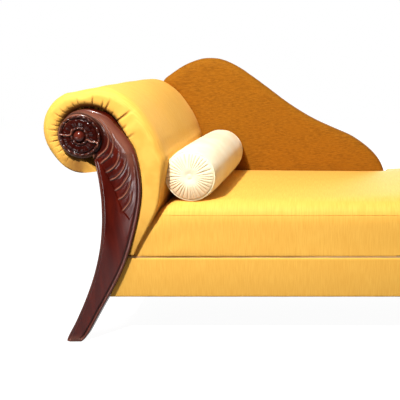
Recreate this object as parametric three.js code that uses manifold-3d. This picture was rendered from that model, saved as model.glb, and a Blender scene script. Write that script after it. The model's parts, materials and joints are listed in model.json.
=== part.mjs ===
// A recamier: a couch with a high scrolled head end, a low scrolled foot end, a humped back and a bolster.
// Millimetres. +X runs from the head end to the foot end, +Y from front to back, +Z up from the floor.
import * as THREE from "three";
import { mergeVertices } from "three/addons/utils/BufferGeometryUtils.js";
import Module from "manifold-3d";

const wasm = await Module();
wasm.setup();

// Overall sizes
const overallLength = 1700;
const overallDepth = 700;
const clearance = 0.3; // between two pieces that lie against each other
const overrun = 40; // how far a cutting body runs past what it cuts
const weldDistance = 0.001;

// Show wood: four sabre legs that end in a scroll, each with a carved rosette
const legThickness = 40;
const legEdge = 4; // the rounding of a leg's edges
const rosetteDepth = 18;
const ribInset = 14; // from a leg's edge to the edge of the plywood rib behind it
const ribThickness = 18;

// The two scrolled ends. Slat places are shares of a leg's width and height.
const head = {
  name: "head",
  side: -1,
  armWidth: 363,
  armHeight: 797,
  rollRadius: 120,
  rollLift: 9,
  legSetback: 20,
  scrollRadius: 67,
  scrollGrowth: 44,
  rosetteRadius: 62,
  slatWidth: 50,
  slatShares: [[0.381, 0.938], [0.87, 0.755], [0.71, 0.445]],
};
const foot = {
  name: "foot",
  side: 1,
  armWidth: 290,
  armHeight: 638,
  rollRadius: 96,
  rollLift: 7,
  legSetback: 16,
  scrollRadius: 54,
  scrollGrowth: 35,
  rosetteRadius: 49,
  slatWidth: 40,
  slatShares: [[0.381, 0.938], [0.87, 0.755]],
};

// Upholstery
const fabricSetback = 17; // the fabric's front face lies this far behind the face of the wood
const coverThickness = 3;
const outerReveal = 6; // the leg shows this much beyond the fabric on the outside of an arm
const armEndSetback = 3; // an arm's gathered end stops this far behind the fabric's front face
const armRoundDepth = 30;
const armRoundInset = 26;
const armCoverAngles = [90, 60, 30, 5]; // where its rounded end is cut into rings
const armFoamAngles = [90, 30];
const armCrown = 3;
const gatherLeastShare = 0.25; // how much of the drawing in the inner side of an arm keeps beside the seat
const gatherFullShare = 0.85; // of an arm's height, where its inner side is fully drawn in
const rollReachShare = 0.7; // of a leg's width, how far inward the roll is reckoned

// Base and seat
const baseBottom = 150;
const baseTop = 281;
const railBacking = 18; // how thick a rail is behind the legs that are let into it
const endRailThickness = 22;
const railDrop = 5; // a rail's lower edge lies this far above the lower edge of the fabric
const strapThickness = 2;
const strapWidth = 60;
const strapCount = 5;
const strapMargin = 110;
const braceThickness = 22;
const braceHeight = 75;
const braceDrop = 12;
const braceCount = 2;
const blockLength = 50;
const blockWidth = 44;
const blockHeight = 100;
const dustThickness = 1.5;
const seatHeight = 443;
const seatCrown = 5;
const seatFrontRound = 42;
const seatRearRound = 20;
const seatCorner = 64; // the run over which the seat's top falls at its ends
const seatCornerDrop = 38;
const seatHeadShare = 0.5; // of that run, how much lies beyond the head arm's inmost place
const seatFootShare = 0.3;
const seatRise = 36; // how far the seat sweeps up to the foot end
const seatRiseLength = 430;

// Back
const backReachShare = 0.6406; // of the couch's length, from its head end to the end of the back
const backHeight = 880;
const backFootThickness = 68;
const backTopThickness = 50;
const backRound = 15;
const boardThickness = 13;
const boardInset = 22;
const postThickness = 20;
const postWidth = 45;
const postRises = [400, 240]; // how far each post stands above the base
const postReachShares = [0.42, 0.8];

// Bolster
const bolsterRadius = 75;
const bolsterTouchShare = 0.987; // how far across the arm's width its side meets the bolster
const bolsterFrontMargin = 35; // from the fabric's front face to the bolster's near end
const bolsterRearMargin = 13; // from the bolster's far end to the foot of the back
const bolsterYaw = THREE.MathUtils.degToRad(-2.5);
const bolsterSkin = 3;
const bolsterEndBulge = 10;
const pleatCount = 16;
const pleatDepth = 2.2;
const pipingRadius = 3;
const buttonRadius = 15;
const buttonHeight = 7;

// Bolts that hold a leg to its rib
const boltRadius = 4;
const boltReach = 25;
const boltHeadRadius = 9;
const boltHeadHeight = 5.5;

// A leg's width and height, as shares of its arm's
const legWidthShare = 0.744;
const legHeightShare = 0.93;

// Outlines, as shares of a leg's width and height, from the outside and the floor
const legInnerShares = [
  [0.881, 0.883], [0.959, 0.826], [0.996, 0.735], [0.978, 0.621], [0.852, 0.453],
  [0.696, 0.313], [0.407, 0.131], [0.237, 0.028], [0.159, 0],
];
const legOuterShares = [
  [0.03, 0], [0, 0.0135], [0.193, 0.143], [0.374, 0.293], [0.496, 0.449],
  [0.537, 0.58], [0.541, 0.665], [0.522, 0.753], [0.496, 0.81],
];
const scrollCentreShare = [0.381, 0.889];
const scrollNeckAngle = 298;
const scrollSpiralStart = 150;
const scrollSpiralEnd = 16;
const scrollSpiralPower = 1.5;
const boltShares = [[0.73, 0.54], [0.75, 0.675]];
// as shares of an arm's width and height, up its inner side and over its top
const armInnerShares = [
  [0.656, 0.314], [0.716, 0.384], [0.826, 0.472], [0.914, 0.55], [0.959, 0.634],
  [0.992, 0.696], [1, 0.734], [0.98, 0.767], [0.947, 0.814], [0.891, 0.866],
  [0.8, 0.926], [0.706, 0.966], [0.596, 0.992], [0.485, 1], [0.347, 0.989],
];
const rollTopAngle = 112;
const rollNeckAngle = 290;
// as shares of the back's reach and height
const backTopShares = [
  [0.181, 0.885], [0.223, 0.924], [0.282, 0.97], [0.339, 0.996], [0.381, 1],
  [0.422, 0.991], [0.478, 0.957], [0.561, 0.885], [0.645, 0.807], [0.731, 0.741],
  [0.817, 0.692], [0.875, 0.66], [0.933, 0.61], [0.975, 0.555], [0.996, 0.5], [1, 0.44],
];
// as shares of the run over which the seat falls or sweeps up, and of half its depth
const seatStepShares = [0, 0.2, 0.45, 0.7, 1];
const seatSweepShares = [0, 0.3, 0.6];
const seatMiddleShares = [-0.55, -0.2, 0.2, 0.6];
// as shares of the bolster's radius and of its ends' bulge, where the pleats lie
const pleatShares = [[0.4, 1], [0.72, 0.7]];
// as shares of a button's radius and height
const buttonShares = [[0, 0], [1, 0], [0.9, 0.7], [0, 1]];
// as shares of a rosette's radius and depth, from its back to the middle of its boss
const rosetteShares = [
  [0, 0], [1, 0], [1, 0.3], [0.9, 0.56], [0.8, 0.36], [0.45, 0.3],
  [0.36, 0.46], [0.26, 0.5], [0.16, 0.93], [0, 1],
];

// What follows from the sizes above
const woodFaceY = overallDepth / 2 - rosetteDepth - clearance;
const woodBackY = woodFaceY - legThickness;
const fabricY = woodFaceY - fabricSetback;
const armEndY = fabricY - armEndSetback;
const ribBackY = woodBackY - clearance - ribThickness;
const seatBottom = baseTop + clearance + strapThickness + clearance;
const railBottom = baseBottom + railDrop;
const railFaceY = fabricY - coverThickness - clearance;
const railBackY = woodBackY - clearance - railBacking;
const backFootZ = seatBottom - overrun;
const boardBackY = railFaceY - postThickness - clearance;
const backReach = backReachShare * overallLength;
const backEndX = backReach - overallLength / 2;
const bolsterFront = fabricY - bolsterFrontMargin;
const bolsterLength = bolsterFront + fabricY - backFootThickness - bolsterRearMargin;

// Finishes
const finish = (name, color, roughness, metalness = 0) =>
  new THREE.MeshStandardMaterial({ name, color, roughness, metalness });
const goldFabric = finish("gold_fabric", 0xd99a35, 0.85);
const creamFabric = finish("cream_fabric", 0xf3e6c8, 0.8);
const mahogany = finish("mahogany", 0x4a1408, 0.28);
const frameWood = finish("frame_wood", 0xc49a62, 0.7);
const foam = finish("foam", 0xefe3a8, 0.9);
const webbing = finish("webbing", 0x2b2622, 0.8);
const dustCloth = finish("dust_cloth", 0x1d1c1b, 0.9);
const steel = finish("steel", 0x9a9c9f, 0.4, 1);

const recamier = new THREE.Group();

// Adds one piece to the couch, or to a group in it.
function add(name, geometry, material, parent = recamier) {
  const mesh = new THREE.Mesh(geometry, material);
  mesh.name = name;
  parent.add(mesh);
  return mesh;
}

// Solids and geometries

function solidOf(geometry) {
  const bare = new THREE.BufferGeometry().setAttribute("position", geometry.getAttribute("position"));
  if (geometry.index) bare.setIndex(geometry.index);
  const merged = mergeVertices(bare, weldDistance);
  return new wasm.Manifold(
    new wasm.Mesh({
      numProp: 3,
      vertProperties: merged.attributes.position.array,
      triVerts: new Uint32Array(merged.index.array),
    }),
  );
}

function geometryOf(solid) {
  const mesh = solid.getMesh();
  const geometry = new THREE.BufferGeometry()
    .setAttribute("position", new THREE.BufferAttribute(mesh.vertProperties, 3))
    .setIndex(new THREE.BufferAttribute(mesh.triVerts, 1));
  geometry.computeVertexNormals();
  return geometry;
}

// A box between two corners.
function boxBetween(low, high) {
  const size = high.clone().sub(low);
  return new THREE.BoxGeometry(size.x, size.y, size.z).translate(
    (low.x + high.x) / 2,
    (low.y + high.y) / 2,
    (low.z + high.z) / 2,
  );
}
const v3 = (x, y, z) => new THREE.Vector3(x, y, z);
const boxSolid = (low, high) => solidOf(boxBetween(low, high));

// A closed body through rings of points, all with as many points, with flat ends.
function loft(rings) {
  const outline = rings[0].map((p) => flatPoint(p, rings));
  const ordered = THREE.ShapeUtils.isClockWise(outline) ? rings.map((ring) => [...ring].reverse()) : rings;
  const flat = ordered[0].map((p) => flatPoint(p, rings));
  const count = flat.length;
  const last = (rings.length - 1) * count;
  const faces = THREE.ShapeUtils.triangulateShape(flat, []).flatMap(([a, b, c]) => [
    [a, c, b],
    [last + a, last + b, last + c],
  ]);
  for (let r = 0; r + 1 < rings.length; r++)
    for (let i = 0; i < count; i++) {
      const a = r * count + i;
      const b = r * count + ((i + 1) % count);
      faces.push([a, b, b + count], [a, b + count, a + count]);
    }
  const positions = ordered.flat().flatMap((p) => [p.x, p.y, p.z]);
  const bodyOf = (index) =>
    solidOf(
      new THREE.BufferGeometry()
        .setAttribute("position", new THREE.Float32BufferAttribute(positions, 3))
        .setIndex(index.flat()),
    );
  const body = bodyOf(faces);
  return body.volume() > 0 ? body : bodyOf(faces.map(([a, b, c]) => [a, c, b]));
}

// The point of a ring in the ring's own plane, which is square to X or to Y.
function flatPoint(p, rings) {
  const alongX = Math.abs(rings[0][0].x - rings[1][0].x) > Math.abs(rings[0][0].y - rings[1][0].y);
  return alongX ? new THREE.Vector2(p.y, p.z) : new THREE.Vector2(p.x, p.z);
}

// An outline in X and Z, run along Y from yLow to yHigh.
function prism(outline, yLow, yHigh) {
  return loft([yLow, yHigh].map((y) => outline.map((p) => v3(p.x, y, p.y))));
}

// An outline moved inward with mitred corners, by a distance that may differ from point to point.
function inset(outline, distance) {
  const turn = THREE.ShapeUtils.isClockWise(outline) ? -1 : 1;
  const sharpest = 0.4;
  const sideways = (from, to) => v2(from.y - to.y, to.x - from.x).normalize();
  return outline.map((p, i) => {
    const before = sideways(outline[(i + outline.length - 1) % outline.length], p);
    const after = sideways(p, outline[(i + 1) % outline.length]);
    const mitre = before.clone().add(after).divideScalar(Math.max(sharpest, 1 + before.dot(after)));
    const by = turn * (typeof distance === "function" ? distance(p) : distance);
    return v2(p.x + mitre.x * by, p.y + mitre.y * by);
  });
}

const v2 = (x, y) => new THREE.Vector2(x, y);
const spline = (points, steps) => new THREE.SplineCurve(points).getPoints(steps);

// Points round an arc, from one angle to another, in degrees. The radius may follow a formula of the angle.
function arcPoints(centre, radius, from, to, steps) {
  return Array.from({ length: steps + 1 }, (_, i) => {
    const degrees = from + ((to - from) * i) / steps;
    const angle = THREE.MathUtils.degToRad(degrees);
    const r = typeof radius === "function" ? radius(degrees) : radius;
    return v2(centre.x + r * Math.cos(angle), centre.y + r * Math.sin(angle));
  });
}

// Outlines of an end, with x as the distance inward from the end of the couch

const legWidth = (end) => legWidthShare * end.armWidth;
const legHeight = (end) => legHeightShare * end.armHeight;
const legPoint = (end, [across, up]) => v2(end.legSetback + across * legWidth(end), up * legHeight(end));
const scrollCentre = (end) => legPoint(end, scrollCentreShare);
const legOuterLine = (end) => spline(legOuterShares.slice(1).map((s) => legPoint(end, s)), 10);

function legOutline(end) {
  const centre = scrollCentre(end);
  const span = scrollSpiralStart - scrollSpiralEnd;
  const spiral = (degrees) =>
    end.scrollRadius +
    end.scrollGrowth * Math.pow(Math.max(0, (scrollSpiralStart - degrees) / span), scrollSpiralPower);
  const scroll = [
    ...arcPoints(centre, end.scrollRadius, scrollNeckAngle, scrollSpiralStart, 10),
    ...arcPoints(centre, spiral, scrollSpiralStart, scrollSpiralEnd, 10).slice(1),
  ];
  const inner = spline([scroll.at(-1), ...legInnerShares.map((s) => legPoint(end, s))], 22).slice(1);
  return [...scroll, ...inner, legPoint(end, legOuterShares[0]), ...legOuterLine(end).slice(0, -1)];
}

function armOutline(end) {
  const innerPoints = armInnerShares.map(([across, up]) => v2(across * end.armWidth, up * end.armHeight));
  const inner = spline(innerPoints, 20);
  const centre = v2(end.rollRadius, scrollCentre(end).y + end.rollLift);
  const roll = arcPoints(centre, end.rollRadius, rollTopAngle, rollNeckAngle, 12);
  const bottom = inner[0].y;
  const outer = legOuterLine(end)
    .reverse()
    .filter((p) => p.y < roll.at(-1).y - end.rollLift && p.y > bottom + end.rollLift)
    .map((p) => v2(p.x + outerReveal, p.y));
  return [...inner, ...roll, ...outer, v2(outerEdgeAt(end, bottom), bottom)];
}

// Where the outside fabric of an arm lies at a height.
function outerEdgeAt(end, height) {
  const line = legOuterLine(end);
  const above = line.findIndex((p) => p.y >= height);
  const [a, b] = [line[above - 1], line[above]];
  return a.x + ((b.x - a.x) * (height - a.y)) / (b.y - a.y) + outerReveal;
}

const baseEndU = (end) => outerEdgeAt(end, seatBottom);
const xOf = (end, u) => end.side * (overallLength / 2 - u);
const placed = (end, outline) => outline.map((p) => v2(xOf(end, p.x), p.y));

// How much the gathers at an arm's ends draw in a point of its outline: fully on the roll, less by the seat.
function gatherShare(end, p) {
  const neck = scrollCentre(end).y + end.rollLift - end.rollRadius;
  if (p.x < rollReachShare * legWidth(end))
    return THREE.MathUtils.smoothstep(p.y, neck, neck + end.scrollRadius);
  const rise = THREE.MathUtils.smoothstep(p.y, seatHeight, gatherFullShare * end.armHeight);
  return THREE.MathUtils.lerp(gatherLeastShare, 1, rise);
}

// An upholstered arm as one body, drawn in at both ends. skin is how far it lies inside the cover's surface.
function armBody(end, skin, angles) {
  const outline = armOutline(end);
  const half = angles.map((degrees) => {
    const angle = THREE.MathUtils.degToRad(degrees);
    const y = armEndY - armRoundDepth * (1 - Math.sin(angle));
    return [y, armRoundInset * (1 - Math.cos(angle)) + armCrown * (y / armEndY) ** 2];
  });
  const stations = [...half.map(([y, by]) => [-y, by]), [0, 0], ...half.reverse()];
  const rings = stations.map(([y, by]) =>
    placed(end, inset(outline, (p) => skin + by * gatherShare(end, p))).map((p) => v3(p.x, y, p.y)),
  );
  return loft(rings);
}

const farX = overallLength;
const above = (z) => boxSolid(v3(-farX, -overallDepth, z), v3(farX, overallDepth, overallLength));
const slab = (y) => boxSolid(v3(-farX, -y, -overrun), v3(farX, y, overallLength));
const legCutter = (end) =>
  prism(placed(end, inset(legOutline(end), -clearance)), woodBackY - clearance, woodFaceY + overrun);
const mirrored = (solid) => solid.mirror([0, 1, 0]);
const bothLegs = (end) => {
  const rear = legCutter(end);
  return rear.add(mirrored(rear));
};
const armPrism = (end, grow) =>
  prism(placed(end, inset(armOutline(end), -grow)), -overallDepth, overallDepth);
const ribOutline = (end, grow) =>
  inset(
    legOutline(end).filter((p, i) => i % 2 === 0 && p.y > baseBottom),
    ribInset - grow,
  );

// A round bar along Y, between two depths.
function barAlongY(radius, x, z, yLow, yHigh, sides = 8) {
  return solidOf(
    new THREE.CylinderGeometry(radius, radius, yHigh - yLow, sides).translate(x, (yLow + yHigh) / 2, z),
  );
}
const boltPlaces = (end) =>
  boltShares.map((share) => {
    const p = legPoint(end, share);
    return v2(xOf(end, p.x), p.y);
  });

// Legs, rosettes, ribs, slats and bolts

function legGeometry(end) {
  const outline = placed(end, legOutline(end));
  const shape = new THREE.Shape(THREE.ShapeUtils.isClockWise(outline) ? [...outline].reverse() : outline);
  const solid = solidOf(
    new THREE.ExtrudeGeometry(shape, {
      depth: legThickness - 2 * legEdge,
      bevelThickness: legEdge,
      bevelSize: legEdge,
      bevelOffset: -legEdge,
      bevelSegments: 1,
    })
      .rotateX(Math.PI / 2)
      .translate(0, woodFaceY - legEdge, 0),
  );
  const holes = boltPlaces(end).map((p) =>
    barAlongY(boltRadius + clearance, p.x, p.y, woodBackY - overrun, woodBackY + boltReach + clearance),
  );
  return solid.subtract(wasm.Manifold.union(holes)).intersect(above(0));
}

// A rib, grown by a distance. It stands on the rail behind its leg.
const ribBody = (end, grow) =>
  prism(placed(end, ribOutline(end, grow)), ribBackY - grow, ribBackY + ribThickness + grow).intersect(
    above(baseTop + clearance - grow),
  );

function ribGeometry(end) {
  const holes = boltPlaces(end).map((p) => barAlongY(boltRadius + clearance, p.x, p.y, 0, overallDepth));
  return ribBody(end, 0).subtract(wasm.Manifold.union(holes));
}

// A bolt, grown by a distance. Its head lies against the inner face of the rib.
function boltGeometry(p, grow = 0) {
  const headTop = ribBackY - clearance - boltHeadHeight - grow;
  const shank = barAlongY(boltRadius + grow, p.x, p.y, headTop, woodBackY + boltReach);
  return shank.add(barAlongY(boltHeadRadius + grow, p.x, p.y, headTop, ribBackY - clearance + grow, 6));
}

function rosetteGeometry(end) {
  const points = rosetteShares.map(([r, depth]) => v2(r * end.rosetteRadius, depth * rosetteDepth));
  const centre = scrollCentre(end);
  return solidOf(new THREE.LatheGeometry(points, 18)).translate([
    xOf(end, centre.x),
    woodFaceY + clearance,
    centre.y,
  ]);
}

// The slats that run from rib to rib, grown by a distance. The first lies flat under the top of the roll.
function slatBoxes(end, grow) {
  const halfLength = ribBackY - clearance + grow;
  return end.slatShares.map((share, i) => {
    const p = legPoint(end, share);
    const across = (i === 0 ? end.slatWidth : ribThickness) / 2 + grow;
    const tall = (i === 0 ? ribThickness : end.slatWidth) / 2 + grow;
    const x = xOf(end, p.x);
    return boxBetween(v3(x - across, -halfLength, p.y - tall), v3(x + across, halfLength, p.y + tall));
  });
}

function addWood(end) {
  const pieces = [
    ["leg", legGeometry(end), mahogany],
    ["rosette", rosetteGeometry(end), mahogany],
    ["rib", ribGeometry(end), frameWood],
    ...boltPlaces(end).map((p, i) => [`bolt_${["lower", "upper"][i]}`, boltGeometry(p), steel]),
  ];
  for (const [name, solid, material] of pieces) {
    add(`${end.name}_${name}_rear`, geometryOf(solid), material);
    add(`${end.name}_${name}_front`, geometryOf(mirrored(solid)), material);
  }
  slatBoxes(end, 0).forEach((slat, i) => add(`${end.name}_slat_${i + 1}`, slat, frameWood));
}

// Arms: foam built up round the ribs and slats, under a fabric cover that also covers the end of the base

function addArm(end) {
  const legs = bothLegs(end);
  const inside = armBody(end, coverThickness, armFoamAngles).intersect(slab(armEndY - coverThickness));
  const rearCuts = [ribBody(end, clearance), ...boltPlaces(end).map((p) => boltGeometry(p, clearance))];
  const cuts = [...rearCuts, ...rearCuts.map(mirrored), ...slatBoxes(end, clearance).map(solidOf), legs];
  const padding = armBody(end, coverThickness + clearance, armFoamAngles)
    .intersect(slab(armEndY - coverThickness - clearance))
    .subtract(wasm.Manifold.union(cuts))
    .intersect(above(seatBottom + clearance));
  const outerX = xOf(end, baseEndU(end));
  const innerX = xOf(end, baseEndU(end) + coverThickness);
  const apron = boxSolid(
    v3(Math.min(outerX, innerX), -woodBackY + clearance, baseBottom),
    v3(Math.max(outerX, innerX), woodBackY - clearance, seatBottom + clearance / 2),
  );
  const cover = armBody(end, 0, armCoverAngles)
    .subtract(inside)
    .subtract(legs)
    .intersect(above(seatBottom))
    .add(apron);
  add(`${end.name}_arm_foam`, geometryOf(padding), foam);
  add(`${end.name}_arm_cover`, geometryOf(cover), goldFabric);
}

// Base: four rails, glue blocks and braces, with fabric over the front and the rear rail

const insideX = (end) => xOf(end, baseEndU(end) + coverThickness + clearance);

// A body along the base between its two ends, cut by the legs that pass through it.
const baseStrip = (yLow, yHigh, low, high) =>
  boxSolid(v3(insideX(head), yLow, low), v3(insideX(foot), yHigh, high))
    .subtract(bothLegs(head))
    .subtract(bothLegs(foot));

function addLongRails() {
  const rearRail = baseStrip(railBackY, railFaceY, railBottom, baseTop);
  const rearCover = baseStrip(fabricY - coverThickness, fabricY, baseBottom, baseTop);
  add("front_rail", geometryOf(mirrored(rearRail)), frameWood);
  const housings = wasm.Manifold.union(postBoxes(clearance).map(solidOf));
  add("rear_rail", geometryOf(rearRail.subtract(housings)), frameWood);
  add("base_cover_front", geometryOf(mirrored(rearCover)), goldFabric);
  add("base_cover_rear", geometryOf(rearCover), goldFabric);
}

function addEndRail(end) {
  const length = 2 * (railBackY - clearance);
  const rail = new THREE.BoxGeometry(endRailThickness, length, baseTop - railBottom);
  const railX = insideX(end) - (end.side * endRailThickness) / 2;
  add(`${end.name}_rail`, rail, frameWood).position.set(railX, 0, (railBottom + baseTop) / 2);
  for (const [place, side] of [["front", -1], ["rear", 1]]) {
    const block = new THREE.BoxGeometry(blockLength, blockWidth, blockHeight);
    add(`corner_block_${end.name}_${place}`, block, frameWood).position.set(
      railX - end.side * ((endRailThickness + blockLength) / 2 + clearance),
      side * (railBackY - clearance - blockWidth / 2),
      baseTop - blockHeight / 2,
    );
  }
}

function addBraces() {
  const length = 2 * (railBackY - clearance);
  for (let i = 0; i < braceCount; i++) {
    const x = THREE.MathUtils.lerp(insideX(head), insideX(foot), (i + 1) / (braceCount + 1));
    const brace = new THREE.BoxGeometry(braceThickness, length, braceHeight);
    add(`cross_brace_${i + 1}`, brace, frameWood).position.set(x, 0, baseTop - braceDrop - braceHeight / 2);
  }
}

function addStraps() {
  const length = railFaceY + boardBackY;
  const firstX = xOf(head, head.armWidth) + strapMargin;
  const lastX = xOf(foot, foot.armWidth) - strapMargin;
  for (let i = 0; i < strapCount; i++) {
    const strap = new THREE.BoxGeometry(strapWidth, length, strapThickness);
    const x = THREE.MathUtils.lerp(firstX, lastX, i / (strapCount - 1));
    const y = (boardBackY - railFaceY) / 2;
    add(`seat_strap_${i + 1}`, strap, webbing).position.set(x, y, baseTop + clearance + strapThickness / 2);
  }
}

function addBase() {
  addLongRails();
  addEndRail(head);
  addEndRail(foot);
  addBraces();
  addStraps();
  const dustTop = railBottom - clearance;
  const dust = baseStrip(-railFaceY, railFaceY, dustTop - dustThickness, dustTop);
  add("dust_cover", geometryOf(dust), dustCloth);
}

// Back: posts, a board, foam in front of it and a cover over all of it

function backOutline() {
  const places = backTopShares.map(([along, up]) => v2(along * backReach - overallLength / 2, up * backHeight));
  const top = spline(places, 28);
  return [...top, v2(backEndX, backFootZ), v2(top[0].x, backFootZ)];
}

// The upholstered back as one body, thinner at its top. skin is how far it lies inside the cover's surface.
function backBody(skin) {
  const outline = inset(backOutline(), skin);
  const shape = new THREE.Shape([...outline].reverse());
  const block = new THREE.ExtrudeGeometry(shape, {
    depth: backFootThickness - 2 * (skin + backRound),
    bevelThickness: backRound,
    bevelSize: backRound,
    bevelOffset: -backRound,
    bevelSegments: 2,
  })
    .rotateX(Math.PI / 2)
    .translate(0, fabricY - skin - backRound, 0);
  const places = block.getAttribute("position");
  for (let i = 0; i < places.count; i++) {
    const rise = THREE.MathUtils.inverseLerp(backFootZ, backHeight, places.getZ(i));
    const thickness = THREE.MathUtils.lerp(backFootThickness, backTopThickness, rise);
    places.setY(i, fabricY - ((fabricY - places.getY(i)) * thickness) / backFootThickness);
  }
  return solidOf(block).subtract(armPrism(head, clearance + skin));
}

// The posts' boxes, grown by a distance, from the foot of the rear rail to a height behind the board.
function postBoxes(grow) {
  return postReachShares.map((share, i) => {
    const x = share * backReach - overallLength / 2;
    const high = baseTop + postRises[i];
    return boxBetween(
      v3(x - postWidth / 2 - grow, boardBackY + clearance - grow, railBottom - grow),
      v3(x + postWidth / 2 + grow, railFaceY + grow, high + grow),
    );
  });
}

// The back's board, grown by a distance.
const boardBody = (grow) =>
  prism(inset(backOutline(), boardInset - grow), boardBackY - boardThickness - grow, boardBackY + grow)
    .subtract(armPrism(head, boardInset - grow))
    .intersect(above(seatBottom - grow));

function addBack() {
  const cover = backBody(0).subtract(backBody(coverThickness)).intersect(above(seatBottom));
  const padding = backBody(coverThickness + clearance)
    .intersect(above(seatBottom))
    .subtract(boardBody(clearance))
    .subtract(wasm.Manifold.union(postBoxes(clearance).map(solidOf)));
  add("back_cover", geometryOf(cover), goldFabric);
  add("back_foam", geometryOf(padding), foam);
  add("back_board", geometryOf(boardBody(0)), frameWood);
  postBoxes(0).forEach((box, i) => add(`back_post_${i + 1}`, box, frameWood));
}

// Seat: a foam block on the straps, crowned and rounded at its front, with its cover

const seatHeadEdge = xOf(head, head.armWidth) - seatHeadShare * seatCorner;
const seatFootEdge = xOf(foot, foot.armWidth) + seatFootShare * seatCorner;

// How far the seat's edge lies above its usual height: it rises to the foot end and falls at both ends.
function seatLift(x) {
  const along = Math.max(0, seatHeadEdge + seatCorner - x, x - (seatFootEdge - seatCorner));
  const fall = seatCornerDrop * (1 - Math.sqrt(1 - Math.min(1, along / seatCorner) ** 2));
  const sweep = THREE.MathUtils.clamp((x - seatFootEdge) / seatRiseLength + 1, 0, 1);
  return seatRise * sweep ** 2 - fall;
}

function seatSection(x, skin, bottom) {
  const top = seatHeight + seatLift(x);
  const crown = (y) => seatCrown * (1 - (y / fabricY) ** 2);
  const edge = (round, side, from, to, steps) =>
    arcPoints(v2(side * (fabricY - round), top - round), round - skin, from, to, steps);
  const front = edge(seatFrontRound, -1, 180, 90, 5);
  const rear = edge(seatRearRound, 1, 90, 0, 3);
  const middle = seatMiddleShares.map((share) => v2(share * fabricY, top - skin));
  const surface = [...front, ...middle, ...rear].map((p) => v2(p.x, p.y + crown(p.x)));
  const ring = [v2(-fabricY + skin, bottom), ...surface, v2(fabricY - skin, bottom)];
  return ring.map((p) => v3(x, p.x, p.y));
}

function seatBody(skin, bottom) {
  const stations = [
    seatHeadEdge - 2 * seatCorner,
    ...seatStepShares.map((share) => seatHeadEdge + share * seatCorner),
    ...seatSweepShares.map((share) => seatFootEdge - (1 - share) * seatRiseLength),
    ...[...seatStepShares].reverse().map((share) => seatFootEdge - share * seatCorner),
    seatFootEdge + 2 * seatCorner,
  ];
  return loft(stations.map((x) => seatSection(x, skin, bottom)))
    .subtract(armPrism(head, clearance + skin))
    .subtract(armPrism(foot, clearance + skin))
    .subtract(backBody(-clearance - skin));
}

function addSeat() {
  const cover = seatBody(0, seatBottom).subtract(seatBody(coverThickness, seatBottom - overrun));
  add("seat_cover", geometryOf(cover), goldFabric);
  add("seat_foam", geometryOf(seatBody(coverThickness + clearance, seatBottom)), foam);
}

// Bolster: a round filling in a piped cover whose ends are pleated to a button. It lies loose on the seat.

// A closed body of revolution about Y, from a profile of radius, place along Y and depth of the pleats there.
function roundBody(profile, sides) {
  const rings = profile.slice(1, -1).map(([radius, y, depth]) =>
    Array.from({ length: sides }, (_, i) => {
      const angle = (2 * Math.PI * i) / sides;
      const wave = depth * Math.cos(pleatCount * angle);
      return [radius * Math.cos(angle), y + wave, radius * Math.sin(angle)];
    }),
  );
  const middles = rings.length * sides;
  const positions = [...rings.flat(), [0, profile[0][1], 0], [0, profile.at(-1)[1], 0]];
  const index = [];
  for (let i = 0; i < sides; i++) {
    const j = (i + 1) % sides;
    for (let r = 0; r + 1 < rings.length; r++) {
      const [a, b] = [r * sides + i, r * sides + j];
      index.push(a, a + sides, b + sides, a, b + sides, b);
    }
    index.push(middles, i, j, middles + 1, middles - sides + j, middles - sides + i);
  }
  return solidOf(
    new THREE.BufferGeometry()
      .setAttribute("position", new THREE.Float32BufferAttribute(positions.flat(), 3))
      .setIndex(index),
  );
}

// The bolster's body. skin is how far it lies inside the cover's surface, and only the cover is pleated.
function bolsterBody(skin, pleated) {
  const half = bolsterLength / 2 - skin;
  const radius = bolsterRadius - skin;
  const grooveRadius = radius - 2 * (pipingRadius + clearance);
  const grooveY = half - 3 * pipingRadius - clearance;
  const pleats = pleatShares.map(([out, up]) => [out * radius, half + up * bolsterEndBulge, pleatDepth]);
  const side = (s) =>
    [
      [0, half - buttonHeight - clearance, 0],
      [buttonRadius + clearance, half - buttonHeight - clearance, 0],
      [buttonRadius + 2 * clearance, half, 0],
      ...(pleated ? pleats : []),
      [grooveRadius, half - pipingRadius, 0],
      [grooveRadius, grooveY, 0],
      [radius - clearance, grooveY, 0],
    ].map(([r, y, depth]) => [r, s * y, s * depth]);
  const sides = pleated ? 2 * pleatCount : pleatCount;
  return roundBody([...side(-1), [radius, 0, 0], ...side(1).reverse()], sides);
}

function addBolster() {
  const group = new THREE.Group();
  const half = bolsterLength / 2;
  const nearX = xOf(head, bolsterTouchShare * head.armWidth) + clearance + bolsterRadius;
  const restZ = seatHeight + seatCrown + clearance + bolsterRadius;
  group.position.set(nearX + half * Math.sin(-bolsterYaw), half - bolsterFront, restZ);
  group.rotation.z = bolsterYaw;
  recamier.add(group);

  const cover = bolsterBody(0, true).subtract(bolsterBody(bolsterSkin, false));
  const mouth = barAlongY(buttonRadius - clearance, 0, 0, -bolsterLength, bolsterLength);
  add("bolster_cover", geometryOf(cover.subtract(mouth)), creamFabric, group);
  add("bolster_filling", geometryOf(bolsterBody(bolsterSkin + clearance, false)), foam, group);
  for (const [place, side] of [["near", -1], ["far", 1]]) {
    const ringRadius = bolsterRadius - pipingRadius - clearance;
    const ring = new THREE.TorusGeometry(ringRadius, pipingRadius, 6, 2 * pleatCount).rotateX(Math.PI / 2);
    add(`bolster_piping_${place}`, ring, creamFabric, group).position.y = side * (half - 2 * pipingRadius);
    const dome = new THREE.LatheGeometry(
      buttonShares.map(([out, up]) => v2(out * buttonRadius, up * buttonHeight)),
      16,
    );
    const button = add(`bolster_button_${place}`, dome, creamFabric, group);
    button.position.y = side * (half - buttonHeight);
    button.rotation.z = side < 0 ? Math.PI : 0;
  }
}

for (const end of [head, foot]) {
  addWood(end);
  addArm(end);
}
addBase();
addBack();
addSeat();
addBolster();

export default recamier;
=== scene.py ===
import json
import math

import bmesh
import bpy
import numpy as np
from mathutils import Matrix, Vector
from mathutils.geometry import delaunay_2d_cdt


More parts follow.
